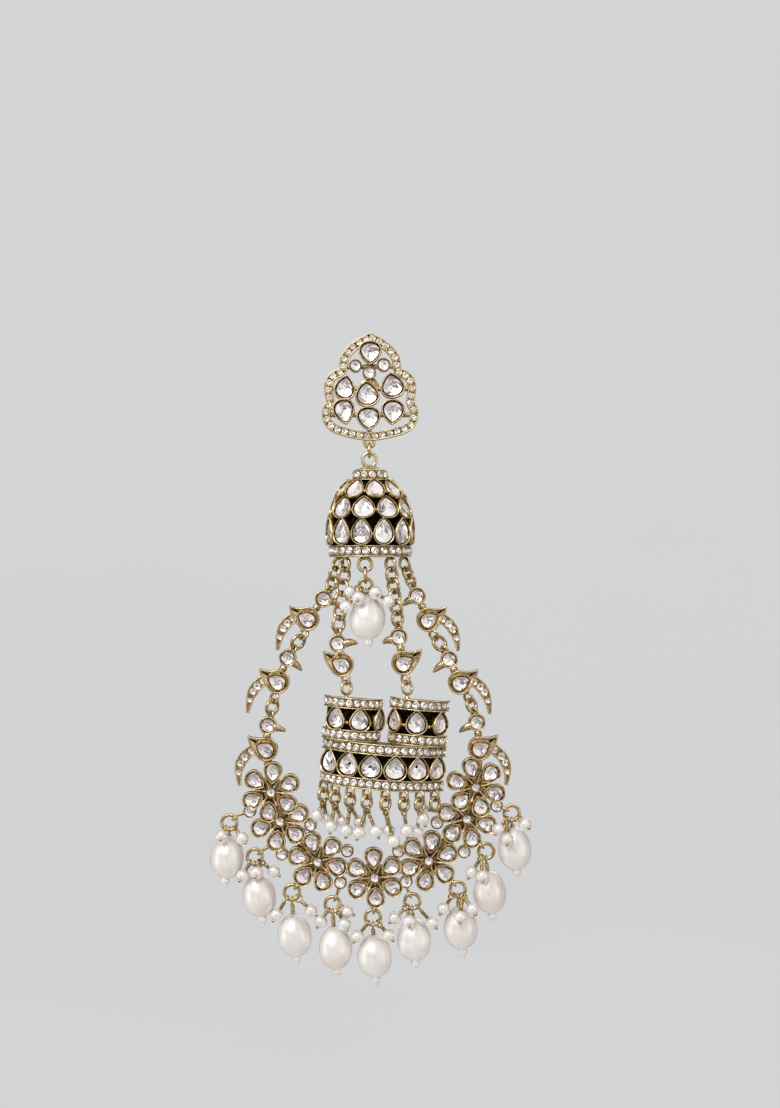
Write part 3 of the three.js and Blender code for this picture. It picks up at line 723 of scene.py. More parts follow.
class HandledFilm(Effect):
    """The thin uneven film that handling leaves, as a rise in roughness."""

    name = "handled_film"
    takes = {"Vector": "Vector", "Scale": "Float", "Least": "Float", "Most": "Float"}
    gives = {"Roughness": "Float"}

    @classmethod
    def build(cls, board: NodeBoard, given: Sequence[Socket]) -> dict[str, Socket]:
        """Builds the nodes.

        Args:
            board: The group's tree.
            given: What the group takes, by name.

        Returns:
            What it gives, by name.
        """
        smear = board.ranged(board.noise(given["Vector"], given["Scale"], 3.0), 0.3, 0.7)
        span = board.sum("SUBTRACT", given["Most"], given["Least"])
        rise = board.sum("MULTIPLY", smear, span)
        return {"Roughness": board.sum("ADD", given["Least"], rise)}


class LayeredTint(Effect):
    """Soft clouds between two colours, moved by the piece's own tone."""

    name = "layered_tint"
    takes = {"Vector": "Vector", "Scale": "Float", "Tone": "Float", "Pale": "Color",
             "Deep": "Color"}
    gives = {"Color": "Color"}

    @classmethod
    def build(cls, board: NodeBoard, given: Sequence[Socket]) -> dict[str, Socket]:
        """Builds the nodes.

        Args:
            board: The group's tree.
            given: What the group takes, by name.

        Returns:
            What it gives, by name.
        """
        cloud = board.ranged(board.noise(given["Vector"], given["Scale"]), 0.32, 0.7)
        share = board.sum("MULTIPLY", board.sum("ADD", cloud, given["Tone"]), 0.5, True)
        return {"Color": board.mixed(share, given["Pale"], given["Deep"])}


@dataclass(frozen=True)
class Finish:
    """A finish, made as one material the first time that a piece asks for it.

    It also holds a material slot, and says if its pieces' faces are cut flat.
    """

    name: str
    slot: Optional[Slot] = None
    cut: bool = False

    def material(self) -> bpy.types.Material:
        """Finds the finish's material, or builds it the first time.

        Returns:
            The material.
        """
        found = bpy.data.materials.get(self.name)
        if found:
            return found
        made = bpy.data.materials.new(self.name)
        board = MaterialBoard(made)
        board.give(board.shader, self.dress(board))
        return made

    def dress(self, board: MaterialBoard) -> dict:
        """Builds the finish's own nodes.

        Args:
            board: The material's board.

        Returns:
            What feeds the shader's inputs, by name.
        """
        raise NotImplementedError


@dataclass(frozen=True)
class Gold(Finish):
    """Pale antique gold, oxidised in its recesses, with painted shade in recesses, on backs and
    between parts.
    """

    slot: Slot = Slot.GOLD
    bright: Triple = (0.76, 0.64, 0.40)
    warm: Triple = (0.50, 0.335, 0.14)
    oxide_and_shade: Triple = (0.005, 0.0035, 0.0025)
    spread: float = 0.26
    polish: float = 0.14
    film: float = 0.16
    oxide_roughness: float = 0.25
    grain: float = 0.6
    grain_depth: float = 0.00005

    def dress(self, board: MaterialBoard) -> dict:
        """Builds the finish's own nodes.

        Args:
            board: The material's board.

        Returns:
            What feeds the shader's inputs, by name.
        """
        grain = CastGrain.placed(board, Vector=board.vector, Grain_Scale=5200.0, Wave_Scale=1300.0)
        mask = RecessTarnishAndShade.placed(board, Amount=board.tone, Mottle=grain["Mottle"],
                                    Spread=self.spread)["Mask"]
        film = HandledFilm.placed(board, Vector=board.vector, Scale=900.0, Least=self.polish,
                                  Most=self.polish + self.film)
        # painted shade with real tarnish: the gold goes warm, then black, as the mask of tone and
        # mottle rises
        warm = board.mixed(board.ranged(mask, 0.0, 0.5), self.bright, self.warm)
        dull = board.sum("MULTIPLY", mask, self.oxide_roughness)
        return {"Base Color": board.mixed(board.ranged(mask, 0.35, 0.85), warm, self.oxide_and_shade),
                "Roughness": board.sum("ADD", film["Roughness"], dull), "Metallic": 1.0,
                "Normal": board.bump(grain["Height"], self.grain_depth, self.grain)}


@dataclass(frozen=True)
class Stone(Finish):
    """Clear glass backed with bright foil, seen as one mirror-like cut surface."""

    slot: Slot = Slot.CRYSTAL
    cut: bool = True
    pale: Triple = (0.95, 0.94, 0.92)
    deep: Triple = (0.80, 0.70, 0.74)
    cloud_scale: float = 420.0
    film_scale: float = 1500.0
    satin: float = 0.07
    film: float = 0.13
    metallic: float = 0.8
    coat: float = 1.0
    coat_roughness: float = 0.03

    def dress(self, board: MaterialBoard) -> dict:
        """Builds the finish's own nodes.

        Args:
            board: The material's board.

        Returns:
            What feeds the shader's inputs, by name.
        """
        tint = LayeredTint.placed(board, Vector=board.vector, Scale=self.cloud_scale,
                                  Tone=board.tone, Pale=self.pale, Deep=self.deep)
        film = HandledFilm.placed(board, Vector=board.vector, Scale=self.film_scale,
                                  Least=self.satin, Most=self.satin + self.film)
        return {"Base Color": tint["Color"], "Roughness": film["Roughness"],
                "Metallic": self.metallic, "Coat Weight": self.coat,
                "Coat Roughness": self.coat_roughness}


@dataclass(frozen=True)
class Nacre(Stone):
    """The soft lustre of a pearl: a stone's clouds and film over a milky body."""

    slot: Slot = Slot.PEARL
    cut: bool = False
    pale: Triple = (0.94, 0.93, 0.905)
    deep: Triple = (0.87, 0.78, 0.74)
    cloud_scale: float = 170.0
    film_scale: float = 500.0
    satin: float = 0.32
    film: float = 0.12
    metallic: float = 0.3
    coat: float = 0.8
    coat_roughness: float = 0.14
    milk: float = 0.15
    milk_reach: Triple = (1.0, 0.7, 0.5)
    ripple: float = 0.25
    ripple_depth: float = 0.00008

    def dress(self, board: MaterialBoard) -> dict:
        """Builds the finish's own nodes.

        Args:
            board: The material's board.

        Returns:
            What feeds the shader's inputs, by name.
        """
        ripple = board.noise(board.vector, self.cloud_scale * 3.0)
        return {**super().dress(board), "Subsurface Weight": self.milk,
                "Subsurface Radius": self.milk_reach, "Subsurface Scale": MM,
                "Normal": board.bump(ripple, self.ripple_depth, self.ripple)}


@dataclass(frozen=True)
class PaleWall(Finish):
    """Evenly lit pale studio paint with a faint roller texture."""

    pale: Triple = (0.08, 0.0806, 0.0815)
    deep: Triple = (0.0775, 0.0783, 0.0793)
    glow: float = 7.5

    def dress(self, board: MaterialBoard) -> dict:
        """Builds the finish's own nodes.

        Args:
            board: The material's board.

        Returns:
            What feeds the shader's inputs, by name.
        """
        tint = LayeredTint.placed(board, Vector=board.vector, Scale=3.0, Pale=self.pale,
                                  Deep=self.deep)["Color"]
        roller = board.bump(board.noise(board.vector, 700.0), 0.0003, 0.1)
        return {"Base Color": tint, "Emission Color": tint, "Emission Strength": self.glow,
                "Roughness": 0.9, "Normal": roller}


CAST_GOLD = Gold("cast_gold")
WIRE_GOLD = Gold("wire_gold", bright=(0.69, 0.575, 0.35), spread=0.32, polish=0.1, grain=0.35)
POLKI = Stone("polki_foil")
PAVE = Stone("pave_crystal", pale=(0.97, 0.95, 0.91), deep=(0.86, 0.76, 0.74), cloud_scale=650.0)
PEARL = Nacre("pearl_nacre")
SEED = Nacre("seed_nacre", Slot.SEED, cloud_scale=380.0, satin=0.26, deep=(0.84, 0.77, 0.73))


# ---- Settings, stones and findings ----


@dataclass(frozen=True)
class Bezel:
    """A deep collar with a rolled rim, a groove darkened by tarnish and painted shade, and a bright
    line round its stone.

    Heights count from the rim's top, so the collar's back lies at minus its height. The stone
    has a number of facets round it, and its foil is a dish whose depth is a share of half the
    stone's width. The collar has a finer number of points round it.
    """

    height: float = 2.0
    rim: float = 0.3
    groove: float = 0.2
    line: float = 0.16
    sunk: float = 0.5
    groove_tone: float = 0.78
    facets: int = 11
    dish: float = 0.22
    points: int = 32
    tuck: float = 0.04

    @property
    def stone_inset(self) -> float:
        """How far the stone's edge lies inside the collar's outline."""
        return self.rim + self.groove + 0.55 * self.line

    def profile(self) -> list[Triple]:
        """Returns the collar's section, as Bench.profiled takes it."""
        inner = self.rim + self.groove
        # tones darken the back, the side wall, the groove and the deep inside: tarnish and painted
        # shade
        return [
            (0.14, -self.height, 0.18), (0.0, 0.14 - self.height, 0.55), (0.0, -0.34, 0.2),
            (0.03, -0.14, 0.04), (0.09, -0.03, 0.0), (0.5 * self.rim, 0.0, 0.0),
            (self.rim - 0.06, -0.05, 0.05), (self.rim, -0.16, 0.3),
            (self.rim + 0.03, -self.sunk, self.groove_tone),
            (inner - 0.04, -self.sunk - 0.04, self.groove_tone), (inner, 0.08 - self.sunk, 0.25),
            (inner + 0.5 * self.line, 0.12 - self.sunk, 0.05),
            (inner + self.line, 0.04 - self.sunk, 0.3), (inner + self.line, -self.sunk - 0.3, 0.9),
        ]


class Work:
    """The metal, the foil-backed stones and the small crystals of one sub-assembly."""

    def __init__(self, seed: int) -> None:
        """Clears the benches and starts the sub-assembly's own random draws."""
        self.metal, self.polki, self.pave = Bench(), Bench(), Bench()
        self.chance = np.random.default_rng(seed)

    def pieces(self, body: Body, metal: tuple[str, str], polki: str, pave: str = "") -> None:
        """Makes the sub-assembly's pieces.

        Args:
            body: The body that they ride on.
            metal: The name of the metal piece, and the CAD node that it stands for.
            polki: The name of the foil-backed stones.
            pave: The name of the small crystals, if there are any.
        """
        self.metal.piece(metal[0], CAST_GOLD, body, metal[1])
        self.polki.piece(polki, POLKI, body)
        if pave:
            self.pave.piece(pave, PAVE, body)

    def foil_stone(self, seat: Seat, shape: Shape, bezel: Bezel) -> None:
        """Cuts a stone whose foil shows as a shallow dish of facets.

        Args:
            seat: The middle of its bezel's rim.
            shape: The bezel's outline.
            bezel: The bezel.
        """
        draw = self.chance
        edge = shape(bezel.facets)(bezel.stone_inset - bezel.tuck)
        depth = bezel.dish * np.abs(edge[:, 1]).max()
        half_step = 0.5 * (edge + np.roll(edge, -1, axis=0))
        shift = draw.uniform(-0.16, 0.16, 2) * np.abs(edge).max()
        # each tier's points, share of their reach, share of the depth and unevenness
        tiers = ((edge, 1.0, 0.0, 0.0), (half_step, 0.62, -0.60, 0.2), (edge, 0.26, -1.0, 0.08))
        seat = seat.moved(out=0.04 - bezel.sunk)
        rows = []
        for flat, share, height, jitter in tiers:
            lift = depth * (height + jitter * draw.uniform(-1, 1, len(flat)))
            moved = flat * share + (1 - share) * shift
            rows.append(seat.place(np.column_stack([moved, lift])))
        tip = seat.place(np.array([*(0.8 * shift), -1.12 * depth]))
        self.polki.shell(np.stack(rows), draw.uniform(0.0, 1.0), None, tip)

    def collar(self, seat: Seat, shape: Shape, bezel: Bezel) -> None:
        """Makes a bezel's collar, without its stone."""
        self.metal.profiled(seat, shape(bezel.points), bezel.profile(), dome=-0.05)

    def set_stone(self, seat: Seat, shape: Shape, bezel: Bezel) -> None:
        """Makes a bezel's collar with its foil-backed stone."""
        self.collar(seat, shape, bezel)
        self.foil_stone(seat, shape, bezel)

    def crystal(self, seat: Seat, radius: float) -> None:
        """Sets one small round crystal in its own collar.

        Args:
            seat: The middle of the collar's top.
            radius: Outside radius of the collar.
        """
        # tones darken the collar's back and inside: tarnish and painted shade
        profile = [(0.0, -0.5, 0.8), (0.0, -0.14, 0.4), (0.03, -0.03, 0.05), (0.07, -0.02, 0.05),
                   (0.1, -0.12, 0.6), (0.11, -0.3, 0.8)]
        self.metal.profiled(seat, disc(radius)(14), profile, back=False)
        draw, sides = self.chance, 8
        lean = seat.turned(draw.uniform(0.0, 45.0))
        edge = radius - 0.08
        table = draw.uniform(0.5, 0.62) * edge
        rows = []
        for ring_r, height, offset in ((edge, -0.1, 0.0), (table, 0.34 * edge - 0.1, 0.5)):
            turn = angles(sides, offset * FULL_TURN / sides)
            flat = round_points(turn, ring_r * (1.0 + draw.uniform(-0.05, 0.05, sides)))
            lift = height + draw.uniform(-0.02, 0.02, sides)
            rows.append(lean.place(np.column_stack([flat, lift])))
        tip = lean.moved(out=-0.08 * edge - 0.1).middle
        self.pave.shell(np.stack(rows), draw.uniform(0.0, 1.0), None, tip)

    def crystal_row(self, seats: Sequence[Seat], radius: float, grain: float = 0.17) -> None:
        """Sets a row of small crystals with a pair of gold grains between neighbours.

        Args:
            seats: Where the crystals sit.
            radius: Radius of their collars.
            grain: Radius of the grains.
        """
        for seat, after in zip(seats, [*seats[1:], seats[0]]):
            self.crystal(seat, radius * self.chance.uniform(0.95, 1.02))
            if np.linalg.norm(after.middle - seat.middle) > 3.2 * radius:
                continue
            between = Seat(0.5 * (seat.middle + after.middle), seat.right, seat.up)
            for side in (-1, 1):
                at = between.moved(up=side * 0.72 * radius, out=-0.06).middle
                self.metal.ball(at, grain, 8, 0.06)

    def backing_bar(self, start: Sequence[float], end: Sequence[float], width: float,
                    thick: float) -> None:
        """Adds a flat strip with round edges, in a plane that faces front.

        Args:
            start: The middle of one end.
            end: The middle of the other end.
            width: Its width.
            thick: Its thickness.
        """
        way = unit(np.asarray(end, float) - np.asarray(start, float))
        path = np.linspace(np.asarray(start, float), np.asarray(end, float), 4)
        side = unit(np.cross(way, BACK))
        turn = angles(10)
        ring = (0.5 * width * np.cos(turn)[:, None] * side
                + 0.5 * thick * np.sin(turn)[:, None] * np.cross(way, side))
        self.metal.shell(path[:, None, :] + ring[None], 0.25, path[0] - 0.2 * way,
                         path[-1] + 0.2 * way)


# ---- Stud ----


@dataclass(frozen=True)
class Setting:
    """One large pear setting of the stud: its middle, size and the way its point faces."""

    name: str
    x: float
    z: float
    length: float
    width: float
    point_at: float

    @property
    def shape(self) -> Shape:
        """Its outline."""
        return pear(self.length, self.width)

    @property
    def seat(self) -> Seat:
        """The middle of its rim."""
        return Seat.facing_front(self.x, -2.4, self.z).turned(self.point_at)


@dataclass
class Stud:
    """The paved trefoil on the ear, with seven pear stones, three rounds and its ear post.

    Each row of the edge holds the point that a stretch of its right half leans towards, and
    that stretch's end. Bars hold the x and z of their two ends, and rounds theirs and a radius.
    """

    centre_x: float = 0.2
    tip_z: float = 12.3
    edge: tuple = ((7.8, 8.9, 7.1, 4.0), (12.0, 2.6, 10.1, -3.7), (11.3, -4.8, 11.1, -6.9),
                   (10.9, -10.4, 6.2, -11.5), (3.0, -12.4, 0.0, -12.6))
    settings: tuple[Setting, ...] = (
        Setting("top", 0.2, 7.6, 5.6, 5.4, -90), Setting("mid_left", -5.6, -0.4, 5.8, 5.0, 80),
        Setting("mid_centre", -0.5, -1.8, 6.0, 5.7, 95),
        Setting("mid_right", 5.3, 0.1, 6.0, 5.7, 100),
        Setting("low_left", -5.8, -5.9, 6.0, 5.2, -80),
        Setting("low_centre", -0.2, -7.5, 5.6, 5.7, -90),
        Setting("low_right", 5.4, -6.0, 5.9, 5.5, -95))
    rounds: tuple = ((-3.2, 4.6, 1.5), (0.0, 3.0, 1.6), (3.3, 4.8, 1.6))
    bars: tuple = ((-6.2, 4.4, 6.6, 4.6), (-9.0, -0.6, 9.6, -0.6), (-9.6, -6.6, 10.0, -6.6),
                   (0.0, -11.6, 0.0, 11.0))
    collar: Bezel = Bezel(2.3, rim=0.34, groove=0.26, line=0.18, sunk=0.62, facets=12, dish=0.24,
                          points=44, tuck=0.05)
    small: Bezel = Bezel(2.2, rim=0.24, groove=0.12, line=0.12, sunk=0.3, facets=8, points=24)
    band_front: float = -1.25
    band_width: float = 2.0
    rim_wire: float = 0.17
    edge_points: int = 150
    stones: int = 40
    loop_z: float = -13.0
    loop_r: float = 1.05
    post_r: float = 0.45

    def build(self) -> None:
        """Builds and dresses the stud, its stones and the post."""
        work = Work(seed=11)
        self.band(work)
        for row in self.settings:
            work.collar(row.seat, row.shape, self.collar)
        for x, z, radius in self.rounds:
            work.set_stone(Seat.facing_front(x, -2.3, z), disc(radius), self.small)
        for x0, z0, x1, z1 in self.bars:
            work.backing_bar((x0, -0.4, z0), (x1, -0.4, z1), 1.1, 0.6)
        loop = Seat.facing_front(0.0, HANG_Y, self.loop_z)
        work.metal.ring(loop, self.loop_r, WIRE_R, tone=0.12)
        work.metal.ball((0.0, HANG_Y, self.loop_z + self.loop_r), 0.62, 14, 0.1)
        work.metal.piece("stud_metal", CAST_GOLD, Body.STUD, "stud_frame")
        work.pave.piece("stud_pave", PAVE, Body.STUD)
        work.polki.piece("stud_round_stones", POLKI, Body.STUD)
        for number, row in enumerate(self.settings):
            loose = Work(seed=30 + number)
            loose.foil_stone(row.seat, row.shape, self.collar)
            name = f"stud_stone_{row.name}"
            loose.polki.piece(f"{name}_cut", POLKI, Body.STUD, name)
        self.post()

    def outline(self) -> Array:
        """Draws the band's outer edge.

        Returns:
            Its points, counter-clockwise and evenly spaced.
        """
        half, start = [], (0.0, self.tip_z)
        for *bend, x, z in self.edge:
            half.append(bent(start, bend, (x, z), 12)[:-1])
            start = (x, z)
        right = np.vstack([*half, [start]])
        left = right[1:-1][::-1] * (-1, 1)
        whole = np.vstack([right, left])[::-1] + (self.centre_x, 0.0)
        return resampled(whole, self.edge_points)

    def band(self, work: Work) -> None:
        """Makes the band that frames the stud, its rim wires and its row of crystals.

        Args:
            work: The stud's benches.
        """
        edge, front, width = self.outline(), self.band_front, self.band_width
        # tones darken the floor under the crystals and the band's sides: tarnish and painted shade
        section = ((0.0, -0.12, 0.15), (0.0, front, 0.2), (0.35, front, 0.5),
                   (0.5, front + 0.12, 0.95), (width - 0.5, front + 0.12, 0.95),
                   (width - 0.35, front, 0.5), (width, front, 0.2), (width, -0.12, 0.15))
        rows = [upright(inward(edge, inset), y) for inset, y, _ in section]
        work.metal.shell(np.stack(rows), [row[2] for row in section], closed=True)
        for inset in (self.rim_wire, width - self.rim_wire):
            path = upright(inward(edge, inset), front - 0.1)
            work.metal.wire(path, self.rim_wire, closed=True, sides=8)
        work.metal.ball((self.centre_x, front, self.tip_z - 0.5), 0.3, 10, 0.05)
        path = upright(resampled(inward(edge, 0.5 * width), self.stones), front - 0.1)
        seats = []
        for middle, way in zip(path, np.gradient(path, axis=0)):
            right = unit(way)
            seats.append(Seat(middle, right, np.cross(-BACK, right)))
        work.crystal_row(seats, 0.86)

    def post(self) -> None:
        """Makes the ear post with its pad, its groove and its round end."""
        low, high = (np.array(corner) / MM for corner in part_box("ear_post"))
        end, pad, shaft = high[1], high[0], self.post_r
        groove = end - 2.2
        profile = [(0.3, 0.03), (pad - 0.15, 0.03), (pad, 0.14), (pad, 0.45), (pad - 0.14, 0.6),
                   (0.9, 0.66), (0.55, 0.85), (shaft, 1.2), (shaft, groove - 0.4),
                   (0.36, groove - 0.2), (0.36, groove + 0.2), (shaft, groove + 0.4),
                   (shaft, end - 0.6), (0.36, end - 0.22), (0.2, end - 0.05)]
        bench = Bench()
        bench.turned(Seat.along(ORIGIN, BACK), profile, 28, 0.15, (0.03, end))
        bench.piece("ear_post_and_pad", WIRE_GOLD, Body.STUD, "ear_post")
        LOG.info("post reaches %.1f mm behind the stud, pad %.1f mm wide", end, high[0] - low[0])


# ---- Dome ----


@dataclass(frozen=True)
class PearRow:
    """One row of pear settings round the dome: its height, sizes, number and first angle."""

    z: float
    length: float
    width: float
    count: int
    first: float


@dataclass
class JhumkaDome:
    """The bell of three rows of pear stones between a small and a large ring of crystals.

    The profile holds radius and height. The crown also holds tones. Crystal rings hold height,
    radius, number and size, and wires height, radius and thickness.
    """

    x: float = 0.2
    profile: tuple = ((3.8, -19.7), (4.0, -20.9), (5.7, -22.0), (7.6, -24.4), (9.3, -28.8),
                      (10.0, -33.4), (9.4, -37.0), (9.5, -38.4), (8.4, -39.5))
    crown: tuple = ((3.3, -21.0, 0.6), (3.5, -19.6, 0.3), (3.0, -19.1, 0.1), (2.1, -18.8, 0.2),
                    (1.2, -18.45, 0.25), (0.8, -18.25, 0.1), (0.3, -18.1, 0.1))
    rows: tuple[PearRow, ...] = (
        PearRow(-23.5, 5.5, 4.7, 9, 10.0), PearRow(-27.9, 5.5, 5.4, 10, -9.0),
        PearRow(-33.4, 6.4, 5.0, 12, -11.0))
    bezel: Bezel = Bezel(1.5, rim=0.27, groove=0.17, line=0.13, dish=0.2, points=30)
    crystal_rings: tuple = ((-20.5, 4.05, 13, 0.95), (-37.9, 9.5, 29, 1.0))
    wires: tuple = ((-19.45, 3.6, 0.16), (-21.6, 4.4, 0.16), (-36.75, 9.3, 0.16),
                    (-39.1, 9.3, 0.24))
    wall_depth: float = 1.25
    wall_thickness: float = 0.35
    top_ring_r: float = 1.58
    top_ring_z: float = -16.955
    top_ring_wire: float = 0.42

    def build(self, loops: Iterable["Link"]) -> None:
        """Builds and dresses the dome.

        Args:
            loops: The loops soldered under its rim.
        """
        work = Work(seed=12)
        self.wall(work.metal)
        for row in self.rows:
            self.pears(work, row)
        for z, radius, count, crystal in self.crystal_rings:
            self.crystal_ring(work, z, radius, count, crystal)
        for z, radius, wire in self.wires:
            work.metal.ring(Seat.along(self.middle(z), UP), radius, wire, count=72, sides=8)
        for loop in loops:
            loop.make(work.metal, 0.4)
            work.metal.ball(loop.centre + (loop.radius + 0.1) * UP, 0.55, 10, 0.3)
        work.pieces(Body.DROP, ("dome_metal", "jhumka_dome"), "dome_pear_stones",
                    "dome_crystals")

    def middle(self, z: float) -> Array:
        """The point of the dome's axis at a height."""
        return np.array([self.x, HANG_Y, z])

    def radius_at(self, z: float) -> float:
        """The dome's outside radius at a height."""
        radii, heights = np.array(self.profile).T
        return float(np.interp(-z, -heights, radii))

    def seat(self, z: float, degrees: float, lift: float, reach: float = 2.0) -> Seat:
        """Returns a seat on the dome's surface.

        Args:
            z: Its height.
            degrees: Its angle from the front, towards the right.
            lift: How far it stands off the surface.
            reach: Height over which the slope is measured, each way.

        Returns:
            The seat, its up along the dome's slope.
        """
        turn = math.radians(degrees)
        outward = np.array([math.sin(turn), -math.cos(turn), 0.0])
        fall = (self.radius_at(z + reach) - self.radius_at(z - reach)) / (2 * reach)
        right = np.array([math.cos(turn), math.sin(turn), 0.0])
        middle = self.middle(z) + self.radius_at(z) * outward
        return Seat(middle, right, unit(UP + fall * outward)).moved(out=lift)

    def pears(self, work: Work, row: PearRow) -> None:
        """Makes one row of pear settings and the solder between them.

        Args:
            work: The dome's benches.
            row: The row.
        """
        step = 360.0 / row.count
        for number in range(row.count):
            angle = row.first + number * step
            seat = self.seat(row.z, angle, 0.1).turned(90.0)
            work.set_stone(seat, pear(row.length, row.width), self.bezel)
            side = self.seat(row.z - 0.12 * row.length, angle + 0.5 * step, -0.45)
            work.metal.ball(side.middle, 0.5, 8, 0.35)

    def crystal_ring(self, work: Work, z: float, radius: float, count: int,
                     crystal: float) -> None:
        """Makes a ring of crystals on a plain band.

        Args:
            work: The dome's benches.
            z: Its height.
            radius: Its radius.
            count: How many crystals it has.
            crystal: Radius of each crystal's collar.
        """
        half = crystal + 0.05
        band = [(radius - 0.9, -half), (radius - 0.35, -half), (radius - 0.35, half),
                (radius - 0.9, half)]
        work.metal.turned(Seat.along(self.middle(z), UP), band, 64, 0.8, closed=True)
        seats = []
        for turn in angles(count, 0.13):
            front = np.array([math.sin(turn), -math.cos(turn), 0.0])
            right = np.array([-front[1], front[0], 0.0])
            seats.append(Seat(self.middle(z) + radius * front, right, UP))
        work.crystal_row(seats, crystal, 0.2)

    def wall(self, metal: Bench) -> None:
        """Makes the wall behind the settings, its outside drawn black as painted shade of the dark
        openings between them, the cap over it and its thick ring.

        Args:
            metal: The dome's metal.
        """
        axis = Seat.along(self.middle(0.0), UP)
        outside = [(self.radius_at(z) - self.wall_depth, z) for z in np.linspace(-38.6, -21.2, 16)]
        inside = [(radius - self.wall_thickness, z) for radius, z in reversed(outside)]
        # painted shade: the outside of the wall is fully dark, the inside less so
        tones = [1.0] * len(outside) + [0.25] * len(inside)
        metal.turned(axis, [*outside, *inside], 64, tones, closed=True)
        metal.turned(axis, [row[:2] for row in self.crown], 36, [row[2] for row in self.crown],
                     (-21.0, -18.05))
        ring = Seat.facing_front(0.0, HANG_Y, self.top_ring_z)
        metal.ring(ring, self.top_ring_r, self.top_ring_wire, count=40, sides=12)


# ---- Chains ----


@dataclass(frozen=True)
class Link:
    """A ring of wire: its middle, the way that its chain runs, its turn and its radius."""

    centre: Array
    way: Array
    turn: float
    radius: float

    def seat(self) -> Seat:
        """Finds the plane of the ring.

        Returns:
            Its seat, up against the chain's way.
        """
        across = unit(np.cross(BACK, self.way))
        depth = np.cross(self.way, across)
        turn = math.radians(self.turn)
        side = across * math.cos(turn) + depth * math.sin(turn)
        return Seat(self.centre, side, -self.way)

    def make(self, bench: Bench, wire: float = WIRE_R, gap: float = 0.0,
             tone: float = 0.1) -> None:
        """Adds the ring to a bench.

        Args:
            bench: Takes it.
            wire: Radius of its wire.
            gap: How far it is open at one side, like a jump ring.
            tone: Its tarnish and painted shade.
        """
        bench.ring(self.seat(), self.radius, wire, gap, LINK_POINTS, tone=tone, gap_at=GAP_AT)


@dataclass(frozen=True)
class Chain:
    """Rings between an upper and a lower soldered loop, each turned square to the last."""

    start: Triple
    aim: Triple
    rings: int
    start_r: float = 1.2
    end_r: float = 0.9
    turn: float = 45.0

    def links(self) -> list[Link]:
        """Spaces the chain's rings evenly.

        Returns:
            The upper loop, the rings between and the lower loop, in order.
        """
        start = np.array(self.start, float)
        reach = np.array(self.aim, float) - start
        way = unit(reach)
        if self.rings:
            span = float(np.linalg.norm(reach))
            radius = (span - self.start_r - self.end_r + (self.rings + 1) * BITE) / (2 * self.rings)
        else:
            span, radius = self.start_r + self.end_r - BITE, 0.0
        gone = [self.start_r + radius - BITE + k * (2 * radius - BITE) for k in range(self.rings)]
        radii = [self.start_r, *[radius] * self.rings, self.end_r]
        return [Link(start + far * way, way, self.turn + 90.0 * number, size)
                for number, (far, size) in enumerate(zip([0.0, *gone, span], radii))]


CHAINS = {
    "outer_left_1": Chain((-7.3, CHAIN_Y, DOME_RIM_Z), (-9.3, CHAIN_Y, -46.9), 2, 1.5),
    "outer_left_2": Chain((-15.2, CHAIN_Y, -57.2), (-17.6, CHAIN_Y, -60.5), 1),
    "outer_left_3": Chain((-22.0, CHAIN_Y, -71.9), (-22.9, CHAIN_Y, -75.8), 1),
    "outer_right_1": Chain((8.1, CHAIN_Y, DOME_RIM_Z), (10.0, CHAIN_Y, -46.1), 2, 1.5),
    "outer_right_2": Chain((14.9, CHAIN_Y, -57.4), (17.3, CHAIN_Y, -60.8), 1),
    "outer_right_3": Chain((22.9, CHAIN_Y, -71.8), (24.2, CHAIN_Y, -75.1), 1),
    "inner_left": Chain((-5.5, -6.4, DOME_RIM_Z), (-7.1, INNER_Y, -56.4), 5, 1.5),
    "inner_right": Chain((4.9, -7.0, DOME_RIM_Z), (6.7, INNER_Y, -55.0), 5, 1.5),
    "panel_left": Chain((-5.3, INNER_Y, -67.0), (-5.1, INNER_Y, -69.0), 0, end_r=1.5),
    "panel_right": Chain((8.3, INNER_Y, -67.0), (8.7, INNER_Y, -69.0), 0, end_r=1.5),
    "centre_pearl": Chain((-0.9, -8.7, DOME_RIM_Z), (-0.7, -8.7, -45.7), 1, 1.5, 1.5, 0.0),
}


def build_jump_rings() -> None:
    """Builds the stud's ring and every chain's loose rings, each for its own CAD nodes."""
    low, high = (np.array(corner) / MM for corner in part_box("stud_ring"))
    bench = Bench()
    radius = 0.5 * (high[2] - low[2]) - 0.3
    Link(0.5 * (low + high), DOWN, 90.0, radius).make(bench, gap=0.18)
    bench.piece("stud_jump_ring", WIRE_GOLD, Body.LINK, "stud_ring")
    for name, chain in CHAINS.items():
        if not chain.rings:
            continue
        bench = Bench()
        for link in chain.links()[1:-1]:
            link.make(bench, gap=JUMP_GAP)
        nodes = ([f"{name}_chain"] if name.startswith("inner") else
                 [f"{name}_ring_{number}" for number in range(1, chain.rings + 1)])
        bench.piece(f"{name}_jump_rings", WIRE_GOLD, Body.DROP, *nodes)


# ---- Birds ----


